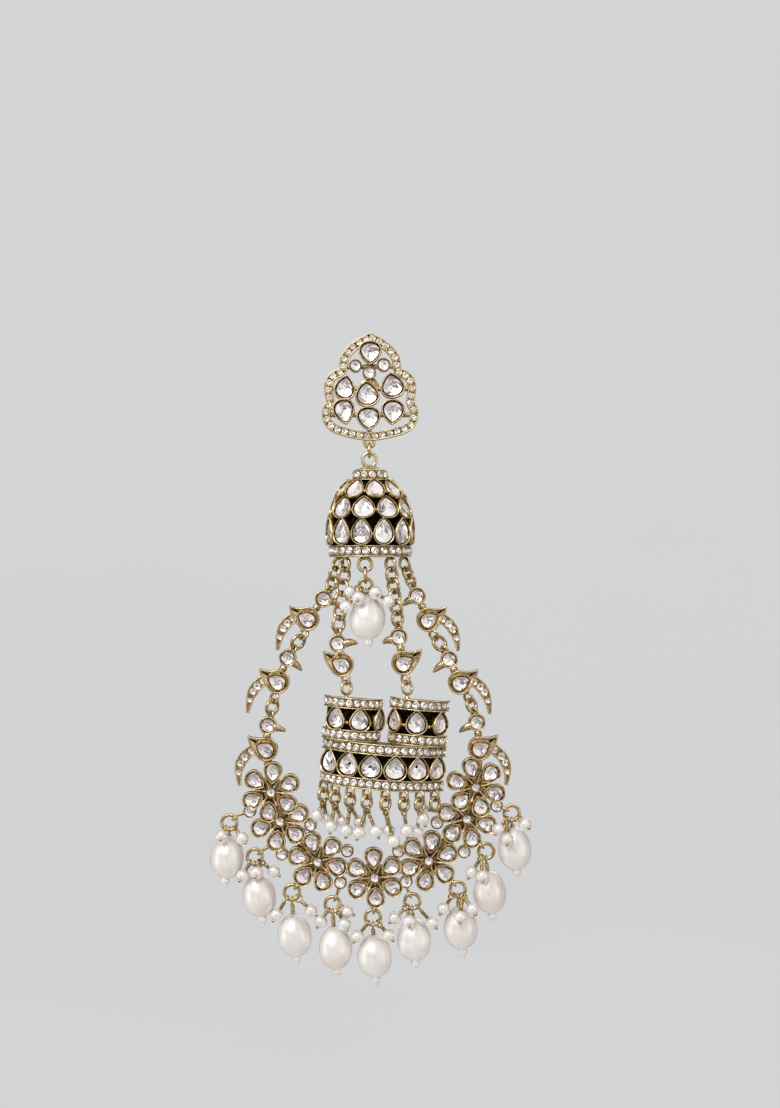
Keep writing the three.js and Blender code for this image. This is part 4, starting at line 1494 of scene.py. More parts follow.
@dataclass
class Bird:
    """A paisley bird link: body with an upswept tip, neck bead, round head, beak and tail.

    The head and the beak's tip count from the body's middle, and outward is the tip's side.
    The blade holds the start, the bend and the end of the tail. Tail stones hold a share of the
    way along it and a radius.
    """

    x: float
    z: float
    head: Pair
    beak: Pair
    outward: int
    tail: bool = True
    body_r: float = 2.8
    head_r: float = 2.05
    tip: Pair = (4.3, 3.15)
    thickness: float = 2.0
    blade: tuple = ((2.9, 0.4), (6.6, -1.3), (6.9, -7.2))
    tail_stones: tuple = ((0.09, 0.88), (0.3, 0.94), (0.52, 0.88), (0.72, 0.68))
    tail_points: int = 22
    beak_points: int = 10
    outline_points: int = 84
    stone: Pair = (4.5, 3.8)
    stone_lean: float = 62.0
    tail_front: float = -0.42
    tail_back: float = -1.5
    work: Work = field(init=False)

    def __post_init__(self) -> None:
        """Gives the bird benches of its own."""
        self.work = Work(seed=int(abs(10 * self.x)) + 7)

    @property
    def y(self) -> float:
        """The middle of its thickness."""
        return CHAIN_Y if self.tail else INNER_Y

    @property
    def seat(self) -> Seat:
        """The middle of its body's front."""
        return Seat.facing_front(self.x, self.y - 0.5 * self.thickness, self.z)

    def build(self, name: str, above: str, below: str) -> None:
        """Builds and dresses a bird that is a link of a chain.

        Args:
            name: Its CAD node.
            above: The chain that it hangs from.
            below: The chain that hangs from it.
        """
        self.add()
        self.rooted(CHAINS[above].links()[-1], self.head)
        self.rooted(CHAINS[below].links()[0], (0.0, 0.0))
        self.work.pieces(Body.DROP, (f"{name}_metal", name), f"{name}_stones")

    def rooted(self, loop: Link, root: Pair) -> None:
        """Adds a loop and the short root that joins it to the bird.

        Args:
            loop: The loop.
            root: Where it joins, from the body's middle.
        """
        loop.make(self.work.metal, 0.33)
        middle = np.array([self.x + root[0], self.y + 0.25, self.z + root[1]])
        way = unit(middle - loop.centre)
        start = loop.centre + loop.radius * way
        path = np.linspace(start - 0.1 * way, middle - 1.3 * way, 5)
        self.work.metal.wire(path, np.array([0.36, 0.42, 0.5, 0.6, 0.6]), tone=0.25)

    def add(self) -> None:
        """Adds the bird's body, head, beak, neck and tail to its benches."""
        self.body()
        head = self.seat.moved(right=self.head[0], up=self.head[1])
        collar = Bezel(self.thickness, rim=0.34, line=0.14, sunk=0.4, groove_tone=0.5, facets=9,
                       points=28)
        self.work.set_stone(head, disc(self.head_r), collar)
        self.beak_and_neck()
        if self.tail:
            self.tail_blade()

    def outline(self) -> Array:
        """Draws the body's outline: a round with one side drawn out to the upswept tip.

        Returns:
            Its points, counter-clockwise.
        """
        upper, lower = math.radians(84), math.radians(-28)
        around = round_points(np.linspace(upper, lower + FULL_TURN, 40), self.body_r)
        belly = bent(around[-1], (self.tip[0] - 0.1, 0.9), self.tip, 12)[1:]
        ear = bent(self.tip, (1.9, 2.25), around[0], 12)[1:-1]
        points = resampled(np.vstack([around, belly, ear]), self.outline_points)
        return points if self.outward > 0 else (points * (-1, 1))[::-1]

    def body(self) -> None:
        """Adds the paisley body with its rim, its sunk face, its pear stone and its brow."""
        outline, metal = self.outline(), self.work.metal
        profile = [(0.12, -self.thickness, 0.18), (0.0, 0.15 - self.thickness, 0.4),
                   (0.0, -0.25, 0.12), (0.07, -0.06, 0.0), (0.24, 0.0, 0.0), (0.4, -0.07, 0.1),
                   (0.46, -0.4, 0.4), (0.6, -0.5, 0.2)]
        metal.profiled(self.seat, lambda inset: inward(outline, inset), profile, front=True)
        collar = Bezel(0.55, rim=0.17, groove=0.12, line=0.12, sunk=0.1, groove_tone=0.4,
                       dish=0.18, points=34)
        middle = self.seat.moved(right=0.25 * self.outward, up=-0.05, out=-0.1)
        leaning = middle.turned(90.0 - self.stone_lean * self.outward)
        self.work.set_stone(leaning, pear(*self.stone), collar)
        brow = raised(round_points(np.linspace(0.5, 2.0, 9), 2.3), -0.28) * (self.outward, 1, 1)
        metal.wire(middle.place(brow),
                   np.array([0.05, 0.12, 0.17, 0.2, 0.2, 0.2, 0.17, 0.12, 0.05]), tone=0.1)

    def beak_and_neck(self) -> None:
        """Adds the curved beak and the bead and wire between the head and the body."""
        seat, metal = self.seat, self.work.metal
        head, beak, far = np.array(self.head), np.array(self.beak), np.linalg.norm(self.head)
        way = unit(beak - head)
        start = head + 1.6 * way
        bend = 0.5 * (start + beak) + (0.0, 0.5)
        flat = bent(start, bend, beak - 0.1 * way, self.beak_points)
        taper = 0.95 * np.sqrt(1.0 - np.linspace(0.0, 0.97, self.beak_points) ** 1.6)
        metal.wire(seat.place(raised(flat, -0.8)), taper, sides=12, tone=0.1, flatness=0.8)
        neck = head * (0.5 * (self.body_r + far - self.head_r) / far)
        metal.ball(seat.moved(right=neck[0], up=neck[1], out=-0.75).middle, 0.95, 14, 0.2)
        up = unit([*self.head, 0.0])
        path = seat.place(np.linspace(1.9 * up, (far - 1.7) * up, 4) - (0.0, 0.0, 1.0))
        metal.wire(path, 0.6, sides=8, tone=0.5)

    def tail_blade(self) -> None:
        """Adds the swept tail with its edge wires and its row of shrinking crystals."""
        seat, metal, front = self.seat, self.work.metal, self.tail_front
        flat = bent(*((x * self.outward, z) for x, z in self.blade), self.tail_points)
        way = np.gradient(flat, axis=0)
        way /= np.linalg.norm(way, axis=1, keepdims=True)
        share = np.linspace(0, 1, self.tail_points)
        half = np.interp(share, (0, 0.5, 1), (1.12, 1.06, 0.25))[:, None]
        side = half * np.stack([-way[:, 1], way[:, 0]], axis=1)
        for sign in (-1, 1):
            edge = seat.place(raised(flat + sign * side, front))
            metal.wire(edge, 0.2 - 0.03 * share, sides=8, tone=0.03)
        corners = ((-1, self.tail_back), (1, self.tail_back), (1, front - 0.05),
                   (-1, front - 0.05))
        rows = [seat.place(raised(flat + sign * side, height)) for sign, height in corners]
        metal.strip(np.stack(rows, axis=1), 0.3)
        for part, radius in self.tail_stones:
            spot = flat[int(part * (self.tail_points - 1))]
            crystal = seat.moved(right=spot[0], up=spot[1], out=front + 0.18)
            self.work.set_stone(crystal, disc(radius), TAIL_BEZEL)


TAIL_BEZEL = Bezel(0.5, rim=0.07, groove=0.02, line=0.04, sunk=0.1, facets=8, dish=0.2, points=16)
BIRDS = {
    "bird_left_1": (Bird(-14.3, -53.6, (3.7, 4.6), (7.2, 3.2), -1), "outer_left_1",
                    "outer_left_2"),
    "bird_left_2": (Bird(-21.2, -68.1, (2.3, 5.5), (5.6, 2.5), -1), "outer_left_2",
                    "outer_left_3"),
    "bird_right_1": (Bird(13.6, -53.8, (-2.6, 5.5), (-6.0, 3.2), 1), "outer_right_1",
                     "outer_right_2"),
    "bird_right_2": (Bird(20.9, -68.3, (-2.5, 5.3), (-6.2, 2.3), 1), "outer_right_2",
                     "outer_right_3"),
    "bird_inner_left": (Bird(-6.2, -63.7, (-0.9, 4.8), (3.7, 4.8), -1, tail=False),
                        "inner_left", "panel_left"),
    "bird_inner_right": (Bird(7.8, -63.3, (-1.1, 5.8), (-4.8, 4.4), 1, tail=False),
                         "inner_right", "panel_right"),
}
LYING_BLADE = ((2.9, 0.0), (7.4, -2.6), (6.0, -8.4))
CRESCENT_BIRDS = (
    (Bird(-23.9, -83.7, (0.4, 5.5), (4.6, 4.1), -1, blade=LYING_BLADE), "outer_left_3"),
    (Bird(25.5, -83.5, (-0.7, 6.0), (-4.8, 3.7), 1, blade=LYING_BLADE), "outer_right_3"),
)


# ---- Panel and fringe ----


@dataclass(frozen=True)
class Drum:
    """One curved band of the panel, in the panel's own frame, with its pear stones."""

    x: float
    half: float
    radius: float
    axis_y: float
    top: float
    bottom: float
    pears: int
    pear_shape: Shape
    pear_shift: float
    crystals: int

    @property
    def reach(self) -> float:
        """Half the angle that the band spans."""
        return math.asin(self.half / self.radius)

    def points(self, turn: float | Array, radius: float, up: float) -> Array:
        """Returns points of the panel's frame, at angles, a radius and a height."""
        turn = np.asarray(turn)
        return np.stack([self.x + radius * np.sin(turn), np.full(turn.shape, up),
                         radius * np.cos(turn) - self.axis_y], axis=-1)


@dataclass
class Panel:
    """Two small drums over a wide one, each with pears between two rows of crystals."""

    x: float = 4.0
    z: float = -81.1
    tilt: float = 4.3
    drums: tuple[Drum, ...] = (
        Drum(-8.2, 6.8, 7.1, -0.7, 9.4, -0.4, 3, pear(5.7, 5.1), 0.27, 10),
        Drum(6.9, 6.9, 7.1, -0.7, 10.1, -0.4, 3, pear(5.7, 5.1), -0.07, 10),
        Drum(-0.4, 14.3, 17.0, 7.3, -0.4, -10.8, 6, pear(6.0, 5.6), 0.0, 18))
    bezel: Bezel = Bezel(1.5, rim=0.29, groove=0.26, line=0.15, sunk=0.6)
    row_height: float = 2.25
    row_depth: float = 0.4
    wall: float = 1.3
    wall_depth: float = 0.95
    lining_depth: float = 1.1
    crystal_r: float = 0.96
    rim_wire: float = 0.16
    steps: int = 36
    loops: tuple[float, ...] = (-13.6, -10.9, -7.4, -3.6, 0.6, 4.8, 8.4, 11.9)
    loop_r: float = 1.2
    loop_drop: float = 0.9
    work: Work = field(default_factory=lambda: Work(seed=13))

    @property
    def frame(self) -> Seat:
        """The panel's own tilted frame."""
        return Seat.facing_front(self.x, HANG_Y, self.z).turned(-self.tilt)

    def build(self) -> None:
        """Builds and dresses the panel."""
        metal = self.work.metal
        for drum in self.drums:
            self.band(drum)
            self.pears(drum)
        for name, drum in (("panel_left", self.drums[0]), ("panel_right", self.drums[1])):
            loop = CHAINS[name].links()[-1]
            loop.make(metal, 0.36)
            low = loop.centre + loop.radius * DOWN
            foot = np.array([*low[:2], self.deck_z(drum, low[0])])
            metal.wire(np.linspace(low, foot, 4), np.array([0.42, 0.46, 0.55, 0.8]), tone=0.1)
        for loop in self.fringe_loops():
            loop.make(metal, 0.34, tone=0.2)
        self.work.pieces(Body.DROP, ("panel_metal", "panel"), "panel_pear_stones",
                         "panel_crystals")

    def deck_z(self, drum: Drum, x: float) -> float:
        """Returns the height of a drum's deck at a place across the panel."""
        tilt = math.radians(self.tilt)
        return self.z + (drum.top - 0.4 - (x - self.x) * math.sin(tilt)) / math.cos(tilt)

    def fringe_loops(self) -> list[Link]:
        """Places the loops under the wide drum's rim.

        Returns:
            The loops, from the left.
        """
        drum = self.drums[-1]
        radius = drum.radius - 0.5 * self.wall
        turns = [math.asin((x - drum.x) / radius) for x in self.loops]
        points = drum.points(turns, radius, drum.bottom - self.loop_drop)
        return [Link(point, DOWN, 45.0, self.loop_r) for point in self.frame.place(points)]

    def strip(self, drum: Drum, inner: float, outer: float, low: float, high: float,
              tone: float) -> None:
        """Adds a curved strip of a drum.

        Args:
            drum: The drum.
            inner: Inner radius.
            outer: Outer radius.
            low: Height of its lower edge.
            high: Height of its upper edge.
            tone: Its tarnish and painted shade.
        """
        turns = np.linspace(-drum.reach, drum.reach, self.steps)
        corners = ((outer, high), (outer, low), (inner, low), (inner, high))
        rows = [self.frame.place(drum.points(turns, radius, up)) for radius, up in corners]
        self.work.metal.strip(np.stack(rows, axis=1), tone)

    def band(self, drum: Drum) -> None:
        """Makes a drum's wall, deck, crystal rows and rims.

        Args:
            drum: The drum.
        """
        radius, row = drum.radius, self.row_height
        back = radius - self.wall
        front, lining = radius - self.wall_depth, radius - self.lining_depth
        # painted shade: the wall's outside is fully dark, for the dark openings between the pears;
        # the lining is lighter
        self.strip(drum, back, front, drum.bottom + 0.2, drum.top - 0.2, 1.0)
        self.strip(drum, back - 0.04, lining, drum.bottom + 0.1, drum.top - 0.4, 0.2)
        self.deck(drum)
        around = np.linspace(-drum.reach, drum.reach, 40)
        turns = (np.arange(drum.crystals) + 0.5) / drum.crystals * 2 - 1
        for low in (drum.bottom + 0.15, drum.top - row - 0.15):
            self.strip(drum, lining, radius - self.row_depth, low, low + row, 0.8)
            for up in (low + 0.02, low + row - 0.02):
                path = self.frame.place(drum.points(around, radius - 0.15, up))
                self.work.metal.wire(path, self.rim_wire, sides=8, tone=0.03)
            seats = self.seats(drum, turns * drum.reach, low + 0.5 * row, -0.05)
            self.work.crystal_row(seats, self.crystal_r, 0.18)

    def deck(self, drum: Drum) -> None:
        """Adds the flat top that closes a drum, with a low rim.

        Args:
            drum: The drum.
        """
        turns = np.linspace(-drum.reach, drum.reach, 30)
        arc = drum.points(turns, drum.radius - 0.4, drum.top - 0.55)
        middle = arc.mean(axis=0)
        flat = (arc - middle)[:, ::2] * (1, -1)
        seat = Seat(self.frame.place(middle), self.frame.right, -self.frame.out)
        profile = [(0.0, -0.3, 0.7), (0.0, 0.2, 0.3), (0.15, 0.3, 0.2), (0.4, 0.28, 0.35)]
        self.work.metal.profiled(seat, lambda inset: inward(flat, inset), profile, front=True)

    def seats(self, drum: Drum, turns: Sequence[float], up: float, lift: float) -> list[Seat]:
        """Finds seats on a drum's surface.

        Args:
            drum: The drum.
            turns: Their angles.
            up: Their height.
            lift: How far they stand off the surface.

        Returns:
            The seats.
        """
        frame = self.frame
        middles = frame.place(drum.points(turns, drum.radius + lift, up))
        return [Seat(middle, math.cos(turn) * frame.right - math.sin(turn) * frame.out, frame.up)
                for middle, turn in zip(middles, turns)]

    def pears(self, drum: Drum) -> None:
        """Makes a drum's row of pear settings and the solder between them.

        Args:
            drum: The drum.
        """
        step = 2 * drum.reach / drum.pears
        turns = drum.pear_shift + (np.arange(drum.pears) - 0.5 * (drum.pears - 1)) * step
        middle = 0.5 * (drum.top + drum.bottom)
        for seat in self.seats(drum, turns, middle + 0.1, 0.12):
            self.work.set_stone(seat.turned(90.0), drum.pear_shape, self.bezel)
        for seat in self.seats(drum, turns[:-1] + 0.5 * step, middle - 0.8, -0.6):
            self.work.metal.ball(seat.middle, 0.5, 8, 0.3)


@dataclass
class Fringe:
    """Rings under the panel, each with seed pearls on head pins.

    A seed holds its x, its z and how far it lies behind its ring.
    """

    ring_r: float = 1.45
    seeds: tuple = (
        ((-11.8, -98.3, 0.0), (-9.9, -99.2, 2.3)), ((-8.6, -100.3, 0.0), (-6.2, -99.5, 2.3)),
        ((-5.0, -100.9, 0.0), (-2.1, -99.4, 2.3)), ((-2.2, -101.2, 0.0), (1.6, -100.9, 0.0)),
        ((4.5, -100.9, 1.6), (5.6, -103.1, 0.0)), ((8.5, -100.8, 0.0),),
        ((12.2, -98.6, 0.0), (10.9, -101.7, 1.6)), ((12.3, -97.0, 1.0),))

    def build(self, loops: Sequence[Link]) -> None:
        """Builds and dresses the fringe.

        Args:
            loops: The panel's loops that its rings hang from, from the left.
        """
        for number, (loop, seeds) in enumerate(zip(loops, self.seeds), 1):
            wires, pearls = Bench(), Bench()
            centre = loop.centre + (loop.radius + self.ring_r - BITE) * DOWN
            Link(centre, loop.way, loop.turn + 90.0, self.ring_r).make(wires, gap=JUMP_GAP)
            root = centre + self.ring_r * DOWN
            for order, (x, z, back) in enumerate(seeds):
                pin = HeadPin(root, np.array([x, centre[1] + back, z]), 35.0 - 70.0 * (order % 2))
                pin.make(wires, pearls, 0.17 * ((number + order) % 5))
            node = f"fringe_{number}"
            wires.piece(f"{node}_wires", WIRE_GOLD, Body.DROP)
            pearls.piece(f"{node}_pearls", SEED, Body.DROP, node)


# ---- Crescent ----


@dataclass(frozen=True)
class Flower:
    """A flower of six petal settings, some of which may be its neighbour's."""

    x: float
    z: float
    phase: float
    petals: tuple[int, ...] = (0, 1, 2, 3, 4, 5)

    @property
    def ways(self) -> list[float]:
        """The angle of each petal, in degrees from the right."""
        return [self.phase - 60.0 * petal for petal in self.petals]


@dataclass(frozen=True)
class Hang:
    """A pearl drop: its pearl's middle, the ring above it, its hook and its seed pearls."""

    pearl: Pair
    ring: Pair
    hook: Pair
    seeds: tuple[Pair, ...]


DROP_RING_R = 1.75
DROPS = (
    Hang((-32.9, -108.6), (-32.4, -100.7), (-31.1, -99.6), ((-33.8, -103.3), (-29.2, -103.9))),
    Hang((-25.5, -117.5), (-26.5, -108.6), (-24.4, -107.0),
         ((-29.1, -112.5), (-25.8, -111.7), (-22.1, -111.9))),
    Hang((-17.3, -126.7), (-17.9, -116.8), (-16.6, -115.0), ((-21.3, -121.7), (-13.5, -121.0))),
    Hang((-7.9, -129.6), (-8.5, -119.6), (-7.6, -117.5),
         ((-11.2, -123.5), (-5.1, -121.3), (-5.7, -123.7))),
    Hang((1.2, -131.5), (0.8, -122.6), (1.1, -120.4), ((-2.7, -126.6), (4.5, -126.3))),
    Hang((10.3, -127.7), (9.9, -118.9), (9.1, -116.8),
         ((5.9, -122.7), (9.1, -122.7), (14.4, -123.4))),
    Hang((21.1, -125.0), (20.4, -116.1), (19.2, -114.2),
         ((17.1, -120.2), (23.6, -120.1), (20.8, -121.5))),
    Hang((27.8, -116.7), (27.0, -107.3), (25.6, -105.6), ((23.6, -111.9), (25.9, -112.3))),
    Hang((33.5, -106.6), (32.9, -98.5), (31.2, -97.4),
         ((29.7, -101.9), (35.8, -100.8), (31.5, -103.7))),
)
CENTRE_PEARL = (-0.4, -52.8)
CENTRE_SEEDS = ((-4.2, -47.2), (-5.1, -50.4), (-2.3, -48.4), (1.5, -47.3), (4.4, -49.2))


def in_chain_plane(spot: Pair) -> Array:
    """Returns a point of x and z in the plane of the outer chains."""
    return np.array([spot[0], CHAIN_Y, spot[1]])


def hook_link(drop: Hang) -> Link:
    """Makes the small edge-on loop that a drop's ring hangs from.

    Args:
        drop: The drop.

    Returns:
        The loop.
    """
    ring = in_chain_plane(drop.ring)
    up = unit(in_chain_plane(drop.hook) - ring)
    return Link(ring + (DROP_RING_R + EYE_R - BITE) * up, -up, 90.0, EYE_R)


@dataclass
class Crescent:
    """Seven flowers in a curve, small rounds between them, and a bird at each end."""

    flowers: tuple[Flower, ...] = (
        Flower(-22.8, -93.6, 84), Flower(-20.7, -100.3, 80, (1, 2, 3, 4)),
        Flower(-12.0, -109.7, 45), Flower(1.2, -113.4, 93), Flower(13.7, -109.5, 81),
        Flower(22.5, -99.8, 45, (1, 2, 3, 4)), Flower(24.6, -92.5, 43))
    rounds: tuple = ((-27.6, -98.0), (-13.6, -101.2), (-20.2, -107.9), (-5.1, -107.2),
                     (-6.7, -114.5), (6.7, -107.2), (8.5, -114.3), (15.6, -100.7),
                     (21.9, -107.4), (29.4, -96.8))
    thickness: float = 2.0
    backing: float = 0.5
    petal: Shape = pear(5.1, 4.4)
    petal_reach: float = 4.5
    petal_bezel: Bezel = Bezel(2.0, groove=0.34, line=0.18, groove_tone=0.44, facets=10,
                               dish=0.24)
    petal_hook: float = 1.9
    plate_r: float = 2.7
    round_r: float = 1.5
    round_hook: float = 1.2
    eye_r: float = 1.25
    small: Bezel = Bezel(1.9, rim=0.2, groove=0.08, line=0.1, sunk=0.22, facets=8, points=24)
    work: Work = field(default_factory=lambda: Work(seed=14))

    def build(self) -> None:
        """Builds and dresses the crescent."""
        petals = self.petal_seats()
        for seat in petals:
            self.work.set_stone(seat, self.petal, self.petal_bezel)
        for flower in self.flowers:
            self.work.set_stone(self.seat(flower.x, flower.z), disc(self.eye_r), self.small)
            self.plate_behind(flower)
        for x, z in self.rounds:
            self.work.set_stone(self.seat(x, z), disc(self.round_r), self.small)
        self.joints(petals)
        for (bird, chain), end in zip(CRESCENT_BIRDS, (self.flowers[0], self.flowers[-1])):
            bird.work = self.work
            bird.add()
            bird.rooted(CHAINS[chain].links()[-1], bird.head)
            self.bar((bird.x, bird.z), (end.x, end.z), 2.0)
        self.hooks(petals)
        self.work.pieces(Body.DROP, ("crescent_metal", "crescent"), "crescent_stones")

    def seat(self, x: float, z: float) -> Seat:
        """Returns a seat on the crescent's front plane."""
        return Seat.facing_front(x, CHAIN_Y - 0.5 * self.thickness, z)

    @property
    def back_y(self) -> float:
        """The middle depth of the backing strips."""
        return CHAIN_Y + 0.5 * (self.thickness - self.backing)

    def bar(self, start: Sequence[float], end: Sequence[float], width: float) -> None:
        """Adds a backing strip between two points of x and z."""
        y = self.back_y
        self.work.backing_bar((start[0], y, start[1]), (end[0], y, end[1]), width, self.backing)

    def petal_seats(self) -> list[Seat]:
        """Places the petals round their flowers.

        Returns:
            Each petal's seat, its point towards its flower's middle.
        """
        seats = []
        for flower in self.flowers:
            for degrees in flower.ways:
                way = math.radians(degrees)
                x = flower.x + self.petal_reach * math.cos(way)
                z = flower.z + self.petal_reach * math.sin(way)
                turn = degrees + 180.0 + self.work.chance.uniform(-5.0, 5.0)
                seats.append(self.seat(x, z).turned(turn))
        return seats

    def plate_behind(self, flower: Flower) -> None:
        """Adds the round plate that a flower's petals are soldered to.

        Args:
            flower: The flower.
        """
        seat = Seat.facing_front(flower.x, self.back_y - 0.5 * self.backing, flower.z)
        profile = [(0.1, -self.backing, 0.2), (0.0, -self.backing + 0.1, 0.25), (0.0, -0.05, 0.4),
                   (0.2, 0.0, 0.42)]
        self.work.metal.profiled(seat, disc(self.plate_r)(26), profile, front=True)

    def joints(self, petals: Sequence[Seat]) -> None:
        """Adds the strips behind flowers and small rounds, and the spokes between petals.

        Args:
            petals: The petals' seats.
        """
        for one, other in zip(self.flowers, self.flowers[1:]):
            self.bar((one.x, one.z), (other.x, other.z), 2.0)
        for x, z in self.rounds:
            spot = np.array([x, self.back_y, z])
            near = min(petals, key=lambda seat: float(np.linalg.norm(seat.middle - spot)))
            self.bar((x, z), near.middle[::2], 1.4)
        for flower in self.flowers:
            eye = np.array([flower.x, CHAIN_Y - 0.3, flower.z])
            for degrees in flower.ways:
                way = math.radians(degrees - 30.0)
                spoke = np.array([math.cos(way), 0.0, math.sin(way)])
                path = eye + np.linspace(1.0, 3.5, 6)[:, None] * spoke
                radii = np.array([0.3, 0.24, 0.22, 0.28, 0.42, 0.5])
                self.work.metal.wire(path, radii, tone=0.15)

    def hooks(self, petals: Sequence[Seat]) -> None:
        """Adds the wire hooks that the drops hang from.

        Args:
            petals: The petals' seats.
        """
        collars = [(self.seat(x, z).middle, self.round_hook) for x, z in self.rounds]
        collars += [(seat.middle, self.petal_hook) for seat in petals]
        for drop in DROPS:
            link = hook_link(drop)
            link.make(self.work.metal, 0.3)
            middle, half = min(collars,
                               key=lambda collar: math.dist(collar[0][::2], link.centre[::2]))
            start = link.centre - link.radius * link.way
            outward = unit((start - middle) * (1.0, 0.0, 1.0))
            end = np.array([middle[0], CHAIN_Y + 0.3, middle[2]]) + half * outward
            path = bent(start, start - 0.4 * link.way, end, 7)
            self.work.metal.wire(path, np.linspace(0.32, 0.5, 7), tone=0.15)


# ---- Pearls ----


@dataclass(frozen=True)
class HeadPin:
    """A wire with an eye round its ring, a few turns of wrap, a seed pearl and a round end."""

    root: Array
    seed: Array
    turn: float
    eye_r: float = 0.86
    wire_r: float = 0.22
    end_r: float = 0.42
    squash: float = 0.93

    def make(self, wires: Bench, pearls: Bench, tone: float) -> None:
        """Adds the pin and its pearl.

        Args:
            wires: Takes the metal.
            pearls: Takes the pearl.
            tone: The pearl's tint.
        """
        reach = float(np.linalg.norm(self.seed - self.root))
        way = unit(self.seed - self.root)
        side = unit(np.cross(way, BACK))
        lean = math.radians(self.turn)
        across = math.cos(lean) * side + math.sin(lean) * np.cross(way, side)
        eye = Seat.along(self.root + 0.3 * way, across)
        wires.ring(eye, self.eye_r, self.wire_r, count=22, sides=8, tone=0.15)
        start = 0.3 + self.eye_r
        end = max(start + 0.3, reach - 0.9 * SEED_R)
        turns = max(1.5, (end - start) / 0.4)
        wrap = coil(Seat.along(self.root, way), start, end, 0.3, turns)
        stem = np.linspace(self.root + start * way, self.seed, 3)
        for path, radius in ((wrap, 0.17), (stem, 0.2)):
            wires.wire(path, radius, sides=7, tone=0.2)
        pearls.ball(self.seed, SEED_R, 22, tone, self.squash, way)
        tip = self.seed + (self.squash * SEED_R + 0.5 * self.end_r) * way
        wires.ball(tip, self.end_r, 10, 0.12)


@dataclass
class PearlDrop:
    """A large pearl on a wrapped pin, with seed pearls round the ring that carries it."""

    name: str
    pearl: Array
    ring: Array
    ring_r: float
    seeds: Sequence[Pair]
    length: float = 9.9
    width: float = 7.8
    pin_r: float = 0.35
    root_clear: float = 0.7
    seed_gap: float = 0.5
    pearl_sides: int = 40
    pearl_steps: int = 26
    chance: np.random.Generator = field(init=False)

    def __post_init__(self) -> None:
        """Starts the drop's own random draws."""
        self.chance = np.random.default_rng(sum(ord(letter) for letter in self.name))

    @property
    def eye(self) -> Array:
        """The middle of the eye of the pearl's pin."""
        return self.ring + (self.ring_r + EYE_R - BITE) * DOWN

    @property
    def axis(self) -> Array:
        """The way from the pearl's middle to its eye."""
        return unit(self.eye - self.pearl)

    def build(self) -> None:
        """Builds and dresses the drop."""
        wires, pearl, seeds = Bench(), Bench(), Bench()
        self.big_pearl(pearl)
        self.pin(wires)
        Link(self.ring, DOWN, 0.0, self.ring_r).make(wires, gap=JUMP_GAP)
        for seed in self.seeds:
            middle = np.array([seed[0], self.ring[1] - self.seed_depth(seed), seed[1]])
            pin = HeadPin(self.seed_root(seed), middle, self.chance.uniform(-60.0, 60.0))
            pin.make(wires, seeds, self.chance.uniform(0.0, 0.8))
        name = self.name
        wires.piece(f"{name}_wires", WIRE_GOLD, Body.DROP)
        pearl.piece(f"{name}_big_pearl", PEARL, Body.DROP, f"{name}_pearl")
        seeds.piece(f"{name}_seed_pearls", SEED, Body.DROP, f"{name}_seeds")

    def big_pearl(self, bench: Bench) -> None:
        """Makes the pearl, a little uneven as grown pearls are, and the bead at its tip.

        Args:
            bench: Takes them.
        """
        seat = Seat.along(self.pearl, self.axis)
        half, turn = 0.5 * self.length, angles(self.pearl_sides)
        phase = self.chance.uniform(0.0, FULL_TURN, 3)
        fat = self.chance.uniform(0.97, 1.02)
        rows = []
        for a in np.linspace(math.pi, 0.0, self.pearl_steps + 1)[1:-1]:
            swell = fat * (1.0 - 0.06 * math.cos(a))
            uneven = (1.0 + 0.016 * np.sin(2 * turn + phase[0]) * math.sin(a)
                      + 0.011 * np.sin(turn + 3.0 * a + phase[1])
                      + 0.008 * np.sin(3 * turn - 2.0 * a + phase[2]))
            radius = 0.5 * self.width * math.sin(a) ** 0.96 * swell * uneven
            rows.append(seat.place(raised(round_points(turn, radius), half * math.cos(a))))
        ends = [seat.moved(out=sign * half).middle for sign in (-1, 1)]
        bench.shell(np.stack(rows), self.chance.uniform(0.0, 0.7), *ends)
        low = seat.moved(out=-half - 0.55).middle
        bench.ball(low, 1.02, 18, 0.3, 1.05, self.axis)
        bench.ball(low - 1.15 * self.axis, 0.42, 10, 0.5, 1.3, self.axis)

    def pin(self, bench: Bench) -> None:
        """Makes the pin above the pearl, with its wraps and its eye.

        Args:
            bench: Takes them.
        """
        top = 0.5 * self.length - 0.1
        end = float(np.linalg.norm(self.eye - self.pearl)) - EYE_R
        stem = np.stack([self.pearl + far * self.axis for far in (top, end)])
        bench.wire(stem, 0.24, sides=8, tone=0.2)
        seat = Seat.along(self.pearl, self.axis)
        turns = max(2.0, (end - top) / 0.42)
        bench.wire(coil(seat, top + 0.1, end - 0.1, 0.36, turns), 0.17, sides=8, tone=0.15)
        Link(self.eye, DOWN, 90.0, EYE_R).make(bench, 0.24)

    def seed_depth(self, seed: Pair) -> float:
        """Finds how far in front of the ring's plane a seed lies on the pearl.

        Args:
            seed: The seed's x and z.

        Returns:
            The distance.
        """
        dx, dz = seed[0] - self.pearl[0], seed[1] - self.pearl[2]
        across = dx * self.axis[2] - dz * self.axis[0]
        along = dx * self.axis[0] + dz * self.axis[2]
        room = SEED_R + self.seed_gap
        wide, tall = 0.525 * self.width + room, 0.5 * self.length + room
        level = 1.0 - (along / tall) ** 2
        on_pearl = wide * wide * level - across * across if level > 0 else 0.0
        on_pin = (room + self.pin_r) ** 2 - across * across
        return math.sqrt(max(on_pearl, on_pin, 0.0))

    def seed_root(self, seed: Pair) -> Array:
        """Finds where a seed's pin leaves the ring, clear of the pearl's eye.

        Args:
            seed: The seed's x and z.

        Returns:
            The place.
        """
        angle = math.atan2(seed[0] - self.ring[0], self.ring[2] - seed[1])
        clear = math.copysign(max(abs(angle), self.root_clear), angle)
        return self.ring + self.ring_r * np.array([math.sin(clear), 0.0, -math.cos(clear)])


